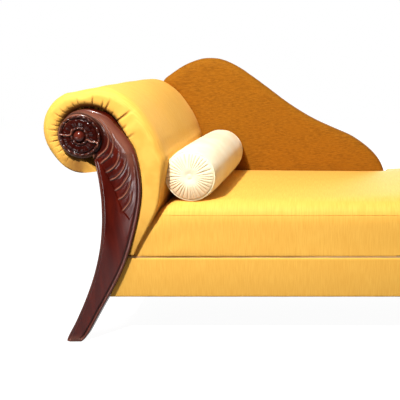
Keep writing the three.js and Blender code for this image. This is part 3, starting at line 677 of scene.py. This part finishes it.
def arm_sleeve(end):
    """The points of an arm's outline, the wood's nearest point to each and how far away that is, the
    middle of the wood's scroll, and the wood's line. All are inward from the couch's end and up."""
    inward = -ARMS[end]["side"]
    centre, radius = disc(f"{end}_rosette_front")
    eye = np.array([centre.x * inward + HALF_LENGTH, centre.z])
    leg_line = through(leg_outline(end) * [inward, 1] + [HALF_LENGTH, 0], 3 * MM)
    above_neck = np.argmax(leg_line[:, 1] > eye[1] - 1.25 * radius)
    outline = arm_outline(end, leg_line[: above_neck + 12], eye)
    sparse = outline[::2] if len(outline) % 2 else np.vstack([outline[::2], outline[-1:]])
    smooth = through(sparse, 1.8 * MM)
    gap, place = nearest(smooth, leg_line)
    along = lengths_along(leg_line)
    wood = np.stack([np.interp(place * along[-1], along, leg_line[:, k]) for k in range(2)], axis=1)
    return smooth, wood, gap, eye, leg_line


EDGE_WIDTH, EDGE_DEPTH = 26 * MM, 30 * MM  # of an arm's rounded edge, in from the outline and in from the end
EDGE_DRAWN = [(0.6, 0.1), (0.676, 0.48), (0.752, 0.8), (0.876, 1)]
# how round the edge is, at shares of the arm's height: the cover is drawn flat lower down
ROLL_SHARE = 0.5208  # the share of an arm's width beyond which its outline belongs to the roll
TUCKED = 16 * MM  # how far the fabric goes in beside the scroll
PUFF_SCROLL, PUFF_LEG = 5 * MM, 13 * MM  # how far it swells beside the scroll and beside the leg
DEEPEST_CREASE = 4.5  # in mm, as the depths of the gathers are


def gathered_end(end, smooth, wood, gap, eye, hidden):
    """Rows of points of an arm's front end, from behind the wood to the rounded edge, and the painted shade
    on them.
    """
    arm = ARMS[end]
    size = arm["height"] / ARMS["head"]["height"]
    neck = eye[1] + arm["lift"] - arm["roll"]
    edge = np.interp(smooth[:, 1] / arm["height"], *np.array(EDGE_DRAWN).T)
    on_roll = smooth[:, 0] < ROLL_SHARE * arm["width"]
    edge = np.where(on_roll, smoothstep(smooth[:, 1], neck, neck + 67 * MM * size), edge)
    edge = np.minimum(edge * EDGE_WIDTH * size, 0.8 * gap)
    out = smooth - wood
    out /= np.linalg.norm(out, axis=1)[:, None] + 1e-9
    angle = np.degrees(np.arctan2(wood[:, 1] - eye[1], wood[:, 0] - eye[0])) % 360
    # high is 1 where the fabric is gathered round the scroll, and 0 where it lies flat beside the leg
    high = smoothstep(wood[:, 1], eye[1] - 10 * MM * size, eye[1] + 50 * MM * size)
    high = np.maximum(high, smoothstep(eye[0] - wood[:, 0], 0, 40 * MM * size))
    tuck = TUCKED * high
    level = 0.85 + 0.15 * smoothstep(smooth[:, 1], SEAM_HEIGHT, SEAM_HEIGHT + 50 * MM)
    puff = (PUFF_LEG + (PUFF_SCROLL - PUFF_LEG) * high) * level * smoothstep(gap, 3 * MM, 16 * MM)
    # painted shade on the fabric under the scroll
    below = 0.75 * bell(angle - 256, 34) * (smooth[:, 1] < eye[1])
    sunk = np.where(hidden, ARM_END - WOOD_BACK + 1 * MM, 0)
    rows = [(0 * gap, np.full(len(gap), -WOOD_BACK))]
    for share in (0.0, 0.03, 0.06, 0.1, 0.15, 0.2, 0.26, 0.33, 0.42, 0.52, 0.64, 0.76, 0.88):
        reach = share * (gap - edge)
        near = np.clip(reach / (1.2 * tuck + 3 * MM), 0, 1)
        slow, quick = 1 - (1 - 2 * min(share, 0.5)) ** 4, 1 - np.exp(-reach / (3.5 * MM))
        bulge = puff * (high * slow + (1 - high) * (0.7 + 0.3 * quick))
        rows.append((reach, -ARM_END - bulge + tuck * (1 - near) ** 2.2 + sunk))
    for turn in np.radians(np.linspace(0, 90, 7)):
        reach = gap - edge + edge * math.sin(turn)
        rows.append((reach, -ARM_END - puff + (EDGE_DEPTH + puff) * (1 - math.cos(turn)) + sunk))
    grid, dark = [], []
    for reach, y in rows:
        crease = np.zeros(len(smooth))
        for turn, length, depth in GATHERS:
            far = np.radians((angle - turn + 180) % 360 - 180) * 80 * MM * size
            share = reach / (length * MM * size)
            width = (1.5 + 0.7 * np.clip(share, 0, 1)) * MM
            crease = np.maximum(crease, depth * bell(far, width) * (1 - smoothstep(share, 0.45, 1)))
        crease = np.minimum(crease, DEEPEST_CREASE) * np.where(hidden, 0, 1) * (y < -WOOD_BACK - 1 * MM)
        # painted shade on the fabric drawn in beside the scroll
        shade_beside_wood = 0.9 * high * (1 - smoothstep(reach, 0, 15 * MM * size))
        grid.append(np.column_stack([wood + out * reach[:, None], y + crease * MM]))
        # each row's painted shade: in the creases, under the scroll and beside the wood
        dark.append(np.maximum.reduce([0.2 * crease, below, shade_beside_wood]))
    return grid, dark


def add_arm(end):
    side = ARMS[end]["side"]
    smooth, wood, gap, eye, leg_line = arm_sleeve(end)
    hidden = inside(smooth, leg_line)
    front, dark = gathered_end(end, smooth, wood, np.where(hidden, 0, gap), eye, hidden)
    normal = np.stack([np.gradient(smooth[:, 1]), -np.gradient(smooth[:, 0])], axis=1)
    normal /= np.linalg.norm(normal, axis=1)[:, None] + 1e-9
    # the roll between the two gathered ends, slightly crowned, with a faint unevenness
    roll = []
    for y in np.linspace(-ARM_END + EDGE_DEPTH, ARM_END - EDGE_DEPTH, 34)[1:-1]:
        crown = 2.4 * MM * (1 - (abs(y) / ARM_END) ** 2)
        wave = 0.5 * MM * np.sin(90 * smooth[:, 0] + 31 * y + 70 * smooth[:, 1])
        roll.append(np.column_stack([smooth + normal * (crown + wave)[:, None], np.full(len(smooth), y)]))
    grid = np.array(front + roll + [row * [1, 1, -1] for row in front[::-1]])
    rows, count = grid.shape[:2]
    points = [(side * (HALF_LENGTH - u), y, z) for row in grid for u, z, y in row]
    faces = grid_faces(rows, count, closed=False)
    # the two ends behind the wood, and the bottom on the base
    flat, caps = filled(grid[0][:, :2], count, 1e-6)
    for y in (-WOOD_BACK, WOOD_BACK):
        faces += [tuple(len(points) + i for i in face) for face in caps]
        points += [(side * (HALF_LENGTH - u), y, z) for u, z in flat]
    starts = [row * count for row in range(rows)]
    faces += [(a, b, b + count - 1, b - 1) for a, b in zip(starts, starts[1:])]
    piece = mesh_piece(f"{end}_arm_upholstery", points, faces, gold_round_arm)
    dark = np.concatenate(dark + [0 * gap] * len(roll) + dark[::-1])
    shade(piece, sunk=[*dark, *np.zeros(len(points) - len(dark))])
    rework(piece.data, join=0.05 * MM)
    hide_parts(f"{end}_arm_cover", f"{end}_arm_foam")


def turned_under(bottom, turn, degrees):
    """The lower edge of a cloth, as heights and how far in, at angles from its underside to its face."""
    return [(bottom + turn * (1 - math.cos(a)), turn * (1 - math.sin(a))) for a in np.radians(degrees)]


def add_apron(end):
    """The panel of the arm's fabric that hangs below it, tacked over the end rail between the legs."""
    side, face = ARMS[end]["side"], ARMS[end]["apron"]
    across, up, turn, hem = 90, 24, 4 * MM, 12 * MM
    ys = np.linspace(-WOOD_BACK + 0.3 * MM, WOOD_BACK - 0.3 * MM, across)
    rows = [(BASE_BOTTOM, hem), *turned_under(BASE_BOTTOM, turn, [0.1, 30, 60, 90])]
    rows += [(z, 0.0) for z in np.linspace(BASE_BOTTOM + turn, SEAM_HEIGHT + 3 * MM, up)[1:]]
    points = []
    for z, deep in rows:
        share = np.clip((z - BASE_BOTTOM) / (SEAM_HEIGHT - BASE_BOTTOM), 0, 1)
        crown = 1.8 * MM * math.sin(math.pi * share)
        for y in ys:
            wave = 0.4 * MM * math.sin(y * 53 + z * 12) * math.sin(y * 19 + 2)
            points.append((face - side * (deep - crown - wave + 1.5 * MM), y, z))
    faces = grid_faces(len(rows), across, closed=False)
    piece = mesh_piece(f"{end}_apron", points, faces, gold_round_arm)
    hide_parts(f"{end}_arm_cover")


for end in ("head", "foot"):
    add_arm(end)
    add_apron(end)


# Seat. A foam block on webbing, crowned, under gold fabric that is drawn down over its front
# to the seam above the base, and tucked down beside the arms and the back.
def read(items, name, width, kind=np.float32):
    """One value of each of a mesh's points or edges, as the rows of an array."""
    values = np.empty(len(items) * width, kind)
    items.foreach_get(name, values)
    return values.reshape(-1, width)


def move_to(mesh, places):
    mesh.vertices.foreach_set("co", places.astype(np.float32).ravel())
    mesh.update()


def relax(places, pairs, free, rounds):
    """Evens a mesh out, where free is 1, and leaves it where free is 0."""
    count = len(places)
    first, second = pairs.T
    degree = np.bincount(pairs.ravel(), minlength=count).clip(1)[:, None]
    for _ in range(rounds):
        total = np.stack([
            np.bincount(first, places[second, k], count) + np.bincount(second, places[first, k], count)
            for k in range(3)
        ], axis=1)
        places = places + 0.5 * free[:, None] * (total / degree - places)
    return places


def evaluated(piece):
    graph = bpy.context.evaluated_depsgraph_get()
    graph.update()
    return bpy.data.meshes.new_from_object(piece.evaluated_get(graph))


CLOTH = {
    "quality": 3, "mass": 0.3, "tension_stiffness": 15, "compression_stiffness": 15, "shear_stiffness": 8,
    "bending_stiffness": 0.6, "use_pressure": True, "uniform_pressure_force": 7,
    "vertex_group_mass": "held",
}
CLOTH_FRAMES = 20


def swollen(piece, free):
    """Where the points of a piece are once it is blown up as cloth, held back where it isn't free."""
    held = piece.vertex_groups.new(name="held")
    for index, share in enumerate(free):
        if share < 0.999:
            held.add([index], float(1 - share), "REPLACE")
    cloth = piece.modifiers.new("cloth", "CLOTH")
    for setting, value in CLOTH.items():
        setattr(cloth.settings, setting, value)
    cloth.settings.effector_weights.gravity = 0
    for number in range(1, CLOTH_FRAMES + 1):
        scene.frame_set(number)
    places = read(evaluated(piece).vertices, "co", 3).astype(float)
    piece.modifiers.clear()
    piece.vertex_groups.clear()
    scene.frame_set(1)
    return places


def stuffed(name, source, material, voxel, grow, rounds, held):
    """A stuffed piece: a closed mesh, remeshed evenly, rounded, blown up as cloth, and smoothed. held
    gives how free its lowest points are to move, and the heights between which the others get free."""
    piece = bpy.data.objects.new(name, source)
    scene.collection.objects.link(piece)
    remesh = piece.modifiers.new("even", "REMESH")
    remesh.mode, remesh.voxel_size, remesh.use_smooth_shade = "VOXEL", voxel, True
    mesh = evaluated(piece)
    piece.modifiers.clear()
    piece.data = mesh
    places = read(mesh.vertices, "co", 3).astype(float)
    pairs = read(mesh.edges, "vertices", 2, np.int32)
    least, low, high = held
    free = least + (1 - least) * smoothstep(places[:, 2], low, high)
    outward = read(mesh.vertex_normals, "vector", 3)
    start = relax(places + grow * free[:, None] * outward, pairs, free, rounds)
    move_to(mesh, start)
    move = swollen(piece, free) - start
    length = np.linalg.norm(move, axis=1)[:, None] + 1e-9
    start = start + move * FURTHEST * np.tanh(length / FURTHEST) / length
    move_to(mesh, relax(start, pairs, free, 3))
    fine = piece.modifiers.new("fine", "SUBSURF")
    fine.levels = fine.render_levels = 1
    final = evaluated(piece)
    piece.modifiers.clear()
    piece.data = final
    final.materials.clear()
    final.materials.append(material)
    final.polygons.foreach_set("use_smooth", [True] * len(final.polygons))
    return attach(piece, "frame")


gold_down_front = woven_gold("gold_fabric_over_the_seat", (420, 22, 22))
seat_low, seat_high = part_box("seat_cover")
FURTHEST = 6 * MM  # that the cloth may swell
SEAM_DROP = 4.5 * MM  # how much lower than the cover's edge the seam above the base is drawn
seat = stuffed(
    "seat_upholstery", rework(frame["nodes"]["seat_foam"].data.copy(), join=0.01 * MM), gold_down_front,
    voxel=9 * MM, grow=5 * MM, rounds=4, held=(0.2, seat_low.z + 4 * MM, seat_low.z + 24 * MM))
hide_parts("seat_cover", "seat_foam")


CLOSED, CLOSED_BAND = 18 * MM, 50 * MM  # how far the lower edge is drawn down, and the height over which


def close_down(piece):
    """Draws the lower edge of a stuffed piece down to a sharp line on the base."""
    for vertex in piece.data.vertices:
        drop = CLOSED * max(0, 1 - (vertex.co.z - seat_low.z) / CLOSED_BAND)
        vertex.co.z = max(vertex.co.z - drop, seat_low.z - SEAM_DROP)


def tuck_in(piece, distance):
    """Pushes the ends of the seat in under the arms, so that no groove shows along them."""
    shares, heights = np.array(ARM_INNER[:12]).T
    for vertex in piece.data.vertices:
        arm = ARMS["head" if vertex.co.x < 0 else "foot"]
        face = HALF_LENGTH - arm["width"] * np.interp(vertex.co.z, heights * arm["height"], shares)
        away = face - abs(vertex.co.x)
        vertex.co.x += arm["side"] * distance * (1 - smoothstep(away, 5 * MM, 90 * MM))


close_down(seat)
tuck_in(seat, 17 * MM)


def ring_of(spokes):
    """The cosine and sine of evenly spread angles."""
    angles = 2 * math.pi * np.arange(spokes) / spokes
    return list(zip(np.cos(angles), np.sin(angles)))


def tube_faces(rows, count):
    """The faces of a tube of rings, closed at both ends."""
    return [*grid_faces(rows, count), tuple(range(count)), tuple(range((rows - 1) * count, rows * count))]


def add_seat_seam(height, radius, spokes=8):
    """The seam where the seat's top is sewn to its front, as a slim raised line on the fabric."""
    line = []
    for x in np.linspace(seat_low.x + 2 * MM, seat_high.x - 2 * MM, 420):
        hit, place, _, _ = seat.ray_cast((x, -1, height), (0, 1, 0))
        if hit:
            line.append((x, place.y, height + 0.5 * MM * math.sin(x * 17) * math.sin(x * 5 + 1)))
    points = [(x, y + radius * c, z + radius * s) for x, y, z in line for c, s in ring_of(spokes)]
    piece = mesh_piece("seat_front_seam", points, tube_faces(len(line), spokes), gold_down_front)
    # the cord is darkened a little all along, as painted shade of the seam
    shade(piece, sunk=np.full(len(points), 0.12))
    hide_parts("seat_cover")


add_seat_seam(412 * MM, 1.0 * MM)


# Back. A plywood board with foam on both sides, sawn to a hump at the top, that stands on the rear rail.
# It is covered in a darker bronze-gold fabric with a broken cross weave, and scribed to the head arm.
def bronze_weave():
    finish = Finish("bronze_fabric")
    dark, light = linear(130, 77, 9), linear(158, 98, 17)
    patch, fleck = linear(152, 92, 12), linear(98, 52, 5)
    streaks = finish.noise((60, 60, 380), 3)
    patches = finish.noise((18, 18, 30), 5, distortion=0.5)
    flecks = finish.noise((260, 260, 420), 2)
    color = finish.blend(finish.span(streaks, 0.3, 0.7), dark, light)
    color = finish.blend(finish.span(patches, 0.35, 0.7, 0, 0.55), color, patch)
    color = finish.blend(finish.span(flecks, 0.5, 0.75, 0, 0.25), color, fleck)
    return finish.surface({
        "Base Color": color, "Roughness": finish.span(flecks, 0.3, 0.7, 0.75, 0.92),
        "Specular IOR Level": 0.1, "Sheen Weight": 0.08, "Sheen Roughness": 0.4,
        "Sheen Tint": linear(255, 200, 110),
        "Normal": finish.bump(0.6 * streaks + 0.5 * flecks, 0.8 * MM, 0.4),
    })


bronze = bronze_weave()
BACK_TOP = [
    (0.181, 0.885), (0.223, 0.924), (0.282, 0.97), (0.339, 0.996), (0.381, 1),
    (0.422, 0.991), (0.478, 0.957), (0.561, 0.885), (0.645, 0.807), (0.731, 0.741),
    (0.817, 0.692), (0.875, 0.66), (0.933, 0.61), (0.975, 0.555), (0.996, 0.5), (1, 0.44),
]  # the back's top, as shares of its reach and height
BACK_REACH, BACK_HEIGHT = 1089 * MM, 880 * MM
BACK_REAR, BACK_FOOT = 314.7 * MM, 243.6 * MM
BACK_THICK_LOW, BACK_THICK_HIGH = 68 * MM, 50 * MM
BACK_SKIN = 3.3 * MM  # how much smaller the body is than the cover that swells out of it


def prism(ring, front, rear):
    """A closed body from an outline in X and Z. front and rear give its depth at a height."""
    count = len(ring)
    points = [(x, front(z), z) for x, z in ring] + [(x, rear(z), z) for x, z in ring]
    faces = grid_faces(2, count)
    faces += [tuple(range(count)), tuple(range(2 * count - 1, count - 1, -1))]
    mesh = bpy.data.meshes.new("body")
    mesh.from_pydata(points, [], faces)
    return rework(mesh, split=True)


def cut(mesh, cutter):
    """What is left of one closed body where another is taken away."""
    bodies = [bpy.data.objects.new("body", m) for m in (mesh, cutter)]
    for body in bodies:
        scene.collection.objects.link(body)
    boolean = bodies[0].modifiers.new("cut", "BOOLEAN")
    boolean.operation, boolean.object, boolean.solver = "DIFFERENCE", bodies[1], "EXACT"
    result = evaluated(bodies[0])
    for body in bodies:
        bpy.data.objects.remove(body)
    return result


def back_front(height):
    thickness = np.interp(height, [BACK_FOOT, BACK_HEIGHT], [BACK_THICK_LOW, BACK_THICK_HIGH])
    return BACK_REAR - thickness + BACK_SKIN


def back_body():
    top = through([(a * BACK_REACH - HALF_LENGTH, b * BACK_HEIGHT) for a, b in BACK_TOP], 10 * MM)
    ring = np.vstack([top, [(BACK_REACH - HALF_LENGTH, SEAM_HEIGHT)], [(top[0, 0], SEAM_HEIGHT)]])
    body = prism(inset(ring, BACK_SKIN), back_front, lambda height: BACK_REAR - BACK_SKIN)
    arm = arm_sleeve("head")[0] - [HALF_LENGTH, 0]
    arm = inset(np.vstack([arm[::3], arm[-1:]]), 5 * MM)
    return cut(body, prism(arm, lambda height: -0.5, lambda height: 0.5))


back = stuffed(
    "back_upholstery", back_body(), bronze,
    voxel=8 * MM, grow=6.5 * MM, rounds=5, held=(0.25, SEAM_HEIGHT + 4 * MM, SEAM_HEIGHT + 20 * MM))
close_down(back)
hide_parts("back_cover", "back_foam")


# Base. Two long strips of the gold fabric, tacked over the front and the rear rail and turned under
# them, between the legs. The aprons of the arms cover the two short rails.
def leg_edge_at(end, height):
    """How far in from the couch's end the inner edge of a leg is at a height."""
    ring = leg_outline(end) * [-ARMS[end]["side"], 1] + [HALF_LENGTH, 0]
    edge = ring[ring[:, 1].argmax() :][::-1]
    return np.interp(height, edge[:, 1], edge[:, 0])


BASE_CROWN = 1.6 * MM  # how far the middle of a strip stands out
BASE_COLUMNS, BASE_ROWS = 300, 22


def add_base(place):
    low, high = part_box(f"base_cover_{place}")
    side, face = (-1, low.y) if place == "front" else (1, high.y)
    bottom, top, turn, edge = low.z - SEAM_DROP, high.z - SEAM_DROP, 5 * MM, 4 * MM
    rows = [(bottom, 14 * MM), (bottom, 9 * MM), *turned_under(bottom, turn, [0, 25, 50, 75, 90])]
    rows += [(z, -BASE_CROWN * math.sin(math.pi * (z - bottom) / (top - bottom)))
             for z in np.linspace(bottom + turn, top - edge, BASE_ROWS)[1:]]
    rows += [(top - edge * (1 - math.sin(a)), edge * (1 - math.cos(a))) for a in np.radians([30, 60, 90])]
    # the top goes in under the seat and rises a little, so that the webbing doesn't show in the seam
    rows += [(top, 6 * MM), (high.z + 1 * MM, 11 * MM), (high.z + 1 * MM, 45 * MM)]
    points = []
    for z, deep in rows:
        left = -HALF_LENGTH + leg_edge_at("head", z) + 0.6 * MM
        right = HALF_LENGTH - leg_edge_at("foot", z) - 0.6 * MM
        for x in np.linspace(left, right, BASE_COLUMNS):
            wave = 0.35 * MM * math.sin(x * 61 + z * 9) * math.sin(x * 23 + 1.3)
            points.append((x, face - side * (deep + BASE_CROWN - wave), z))
    faces = grid_faces(len(rows), BASE_COLUMNS, closed=False)
    piece = mesh_piece(f"base_{place}_strip", points, faces, gold_down_front)
    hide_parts(f"base_cover_{place}")


for place in ("front", "rear"):
    add_base(place)


# Bolster. A round feather filling in a cream cover, with piping round both ends, and ends that are
# pleated in to a small covered button. It lies loose on the seat against the arm.
def cream_cloth():
    finish = Finish("cream_fabric")
    light, dark, crease = linear(249, 239, 206), linear(243, 226, 184), linear(204, 138, 66)
    weave = finish.noise((900, 260, 900), 1)
    patches = finish.noise((12, 12, 12), 3)
    color = finish.blend(finish.span(patches, 0.3, 0.75), light, dark)
    # painted shade: the pleats and the lower half of each end go toward orange-brown
    color = finish.blend(0.6 * finish.share("sunk"), color, crease)
    return finish.surface({
        "Base Color": color, "Roughness": 0.72, "Specular IOR Level": 0.3, "Sheen Weight": 0.2,
        "Sheen Roughness": 0.35, "Normal": finish.bump(weave, 0.4 * MM, 0.3),
    })


cream = cream_cloth()
BOLSTER_RADIUS, PIPING_RADIUS, BUTTON_RADIUS = 79.5 * MM, 3 * MM, 15 * MM
BOLSTER_SWELL = 5 * MM  # how much thicker it is in its middle
BOLSTER_FLAT = 1.2 * MM  # how much of it is pressed flat on the seat
BOLSTER_YAW = math.radians(-2.5)
PLEATS = 36
END_RINGS = (
    0.02, 0.08, 0.14, 0.18, 0.22, 0.26, 0.3, 0.35, 0.4, 0.46, 0.52, 0.58, 0.64, 0.7, 0.76, 0.82, 0.87, 0.91,
)  # shares of the radius at which a pleated end has its rings of points
END_BULGE, BUTTON_DIP = 10 * MM, 5 * MM  # how far an end swells out, and is drawn in at its button
PLEAT_DEPTH, PLEAT_PUFF = 1.8 * MM, 0.5 * MM
END_EDGE = [(0.935, 3.6), (0.95, 6.0), (0.955, 8.2), (0.975, 9.6), (0.992, 13), (1.002, 20)]
# the rounded edge beside the piping: shares of the radius, and mm in from the end
FROM_CAD = Vector((-8 * MM, 0, 4.5 * MM))
# it lies nearer to the arm than the CAD one, and its middle is higher, because it is fuller
near_middle, far_middle = (
    sum(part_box(f"bolster_piping_{end}"), Vector()) / 2 + FROM_CAD for end in ("near", "far")
)
bolster_middle = (near_middle + far_middle) / 2
BOLSTER_HALF = (far_middle - near_middle).length / 2 + 2 * PIPING_RADIUS


def lying_at(middle):
    return Matrix.Translation(middle) @ Matrix.Rotation(BOLSTER_YAW, 4, "Z")


def bolster_end(out, angle):
    """How far a pleated end stands out at a share of its radius and an angle, and how much painted shade it
    has.
    """
    turn = angle * PLEATS / (2 * np.pi) + 0.2 * np.sin(5 * angle + 1) + 0.14 * np.sin(9 * angle)
    from_fold = ((turn + 0.5) % 1 - 0.5) * 2 * np.pi * out * BOLSTER_RADIUS / PLEATS
    inner = 0.28 + 0.06 * np.sin(7 * angle + 2)
    fold = bell(from_fold, (0.9 + 0.4 * out) * MM) * between(out, inner, inner + 0.3, 0.84, 0.95)
    puffed = np.sin(np.pi * (turn % 1)) ** 2 * between(out, 0.2, 0.5, 0.8, 0.95)
    stands = END_BULGE * (1 - out**3.2) - BUTTON_DIP * bell(out, 0.2)
    stands += PLEAT_PUFF * puffed - PLEAT_DEPTH * fold
    # painted shade over the lower half of the end, and in the pleats
    low = smoothstep(-np.sin(angle), -0.1, 0.9) * smoothstep(out, 0.3, 0.85) * (1 - 0.4 * fold)
    return stands, 0.75 * (fold + low)


def add_bolster():
    turns = 480
    angles = np.arange(turns) * 2 * np.pi / turns
    one = np.ones(turns)
    rows, folds = [], []
    for out in END_RINGS:
        stands, fold = bolster_end(out * one, angles)
        rows.append((out * BOLSTER_RADIUS * one, -BOLSTER_HALF + 3 * MM - stands))
        folds.append(fold)
    for out, y in END_EDGE:
        rows.append((out * BOLSTER_RADIUS * one, (-BOLSTER_HALF + y * MM) * one))
        folds.append(0 * one)
    middle = []
    for y in np.linspace(-BOLSTER_HALF + 32 * MM, BOLSTER_HALF - 32 * MM, 40):
        swell = BOLSTER_RADIUS + BOLSTER_SWELL * math.cos(math.pi / 2 * y / BOLSTER_HALF) ** 0.4
        drawn = 0.35 * np.sin(angles * 11 + y * 9) * smoothstep(abs(y), BOLSTER_HALF - 90 * MM, BOLSTER_HALF)
        wrinkle = 0.5 * np.sin(3 * angles + y * 40) * np.cos(y * 55) + drawn
        middle.append((swell + wrinkle * MM, y * one))
    folds += [0 * one] * len(middle) + folds[::-1]
    rows += middle + [(r, -y) for r, y in rows[::-1]]
    place = lying_at(bolster_middle)
    lowest = bolster_middle.z - BOLSTER_RADIUS + BOLSTER_FLAT
    points = []
    for radii, ys in rows:
        for r, y, angle in zip(radii, ys, angles):
            point = place @ Vector((r * math.cos(angle), y, r * math.sin(angle)))
            point.z = max(point.z, lowest)
            points.append(point)
    cover = mesh_piece("bolster_upholstery", points, tube_faces(len(rows), turns), cream, "bolster")
    shade(cover, sunk=np.concatenate(folds))
    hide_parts("bolster_cover", "bolster_filling")


def add_piping(end, middle):
    sections, spokes = 160, 12
    place = lying_at(middle)
    points = []
    for c, s in ring_of(sections):
        for out, along in ring_of(spokes):
            r = BOLSTER_RADIUS - PIPING_RADIUS - 0.3 * MM + PIPING_RADIUS * out
            points.append(place @ Vector((r * c, PIPING_RADIUS * along, r * s)))
    # one section more than there are, so that the last one joins the first
    faces = [tuple(i % len(points) for i in face) for face in grid_faces(sections + 1, spokes)]
    piping = mesh_piece(f"bolster_cord_{end}", points, faces, cream, "bolster")
    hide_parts(f"bolster_piping_{end}")


BUTTON_SECTION = [(0.02, 6.4), (0.3, 6.2), (0.55, 5.6), (0.75, 4.6), (0.9, 3.0), (1.0, 0.6), (0.96, -3.0)]
# shares of the button's radius, and mm out from where it is sewn down


def add_button(end, side):
    spokes = 48
    place = lying_at(bolster_middle)
    points = []
    for out, up in BUTTON_SECTION:
        r, y = out * BUTTON_RADIUS, side * (BOLSTER_HALF - 2 * MM + up * MM)
        points += [place @ Vector((r * c, y, r * s)) for c, s in ring_of(spokes)]
    faces = tube_faces(len(BUTTON_SECTION), spokes)
    button = mesh_piece(f"bolster_cap_{end}", points, faces, cream, "bolster")
    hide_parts(f"bolster_button_{end}")


add_bolster()
for end, middle, side in (("near", near_middle, -1), ("far", far_middle, 1)):
    add_piping(end, middle)
    add_button(end, side)


# Frame inside. Rails, ribs, slats, braces, posts and board of pale hardwood and plywood, steel bolts,
# foam, webbing under the seat, and a black dust cloth tacked under the rails. These are the CAD solids.
def plain_finish(name, dark, light, scale, rough, metallic, relief):
    finish = Finish(name)
    grain = finish.noise(scale, 3, distortion=0.4)
    fine = finish.noise((700, 700, 700), 1)
    return finish.surface({
        "Base Color": finish.blend(finish.span(grain, 0.3, 0.7), linear(*dark), linear(*light)),
        "Roughness": finish.span(fine, 0.2, 0.8, rough - 0.08, rough + 0.08),
        "Metallic": metallic, "Normal": finish.bump(fine, relief, 0.4),
    })


INNER_FINISHES = {
    "frame_wood": ((176, 130, 78), (206, 166, 112), (6, 60, 60), 0.7, 0, 0.3 * MM),
    "foam": ((236, 222, 168), (244, 234, 190), (40, 40, 40), 0.9, 0, 0.8 * MM),
    "webbing": ((34, 30, 27), (58, 50, 43), (500, 40, 40), 0.85, 0, 0.6 * MM),
    "dust_cloth": ((18, 17, 17), (34, 32, 31), (300, 300, 300), 0.92, 0, 0.6 * MM),
    "steel": ((140, 142, 146), (172, 174, 178), (60, 60, 60), 0.35, 1, 0.3 * MM),
}  # the darkest and lightest colour, how fine the grain is, roughness, metal, and how deep the grain is
inner_materials = {name: plain_finish(name, *values) for name, values in INNER_FINISHES.items()}
slots = {part["node"]: part["material_slot"] for part in frame["record"]["subparts"]}
for name, node in frame["nodes"].items():
    if slots[name] in inner_materials:
        node.data.materials.clear()
        node.data.materials.append(inner_materials[slots[name]])


# Floor and light. A white sweep that glows evenly, and white walls. A small hard lamp stands at the upper
# left in front and a broad soft one above. A low card at the left gives the polish its sheen, and is seen
# by nothing else, and a lamp behind lights the rear.
def pale_stage():
    finish = Finish("white_floor")
    seen = finish.path("Is Camera Ray").largest(0.35 * finish.path("Is Glossy Ray"))
    seen = seen.largest(finish.path("Is Transmission Ray"))
    grey = finish.node("ShaderNodeBsdfDiffuse", {}, {"Color": (0.2, 0.2, 0.2, 1)})
    glow = finish.node("ShaderNodeEmission", {}, {"Color": (1, 1, 1, 1), "Strength": 0.95})
    pale = finish.node("ShaderNodeAddShader", {}, {0: grey, 1: glow})
    finish.node("ShaderNodeOutputMaterial", {}, {"Surface": finish.mix(seen, grey, pale)}, None)
    return finish.block


floor_mesh = bpy.data.meshes.new("floor")
floor_mesh.from_pydata([(-6, -1.3, 0), (6, -1.3, 0), (6, 6, 0), (-6, 6, 0)], [], [(0, 1, 2, 3)])
floor_mesh.materials.append(pale_stage())
floor = bpy.data.objects.new("floor", floor_mesh)
scene.collection.objects.link(floor)


def studio():
    room = Finish("studio", bpy.data.worlds)
    warm, white = (1, 0.96, 0.9, 1), (1, 1, 1, 1)
    light, dark, rear, bright = (
        room.node("ShaderNodeBackground", {}, {"Color": color, "Strength": strength})
        for color, strength in ((warm, 0.2), (warm, 0.02), (white, 0.5), (white, 1.0))
    )
    direction = room.node("ShaderNodeTexCoord", {}, {}, "Generated")
    toward_rear = room.span(room.node("ShaderNodeSeparateXYZ", {}, {0: direction}, "Y"), -0.1, 0.3)
    mirrored = room.path("Is Glossy Ray").largest(room.path("Is Transmission Ray"))
    lit = room.mix(mirrored, light, room.mix(toward_rear, dark, rear))
    whole = room.mix(room.path("Is Camera Ray"), lit, bright)
    room.node("ShaderNodeOutputWorld", {}, {"Surface": whole}, None)
    return room.block


scene.world = studio()


def lamp(name, place, aim, watts, size):
    light = bpy.data.lights.new(name, "AREA")
    light.energy = watts
    light.shape, light.size, light.size_y = "RECTANGLE", *size
    holder = bpy.data.objects.new(name, light)
    holder.location = place
    holder.rotation_euler = (Vector(aim) - Vector(place)).to_track_quat("-Z", "Y").to_euler()
    scene.collection.objects.link(holder)
    return holder


lamp("key", (-0.93, -1.97, 2.7), (-0.1, 0, 0.45), 122, (0.16, 0.16))
lamp("overhead", (-0.8, -1.3, 3.0), (-0.3, -0.1, 0.4), 38, (1.0, 1.0))
lamp("rear", (0.9, 2.8, 1.1), (0, 0.3, 0.4), 60, (1.8, 1.2))
card = lamp("card", (-1.9, -1.5, 0.12), (-0.65, -0.33, 0.25), 7, (0.9, 0.24))
card.visible_diffuse = False
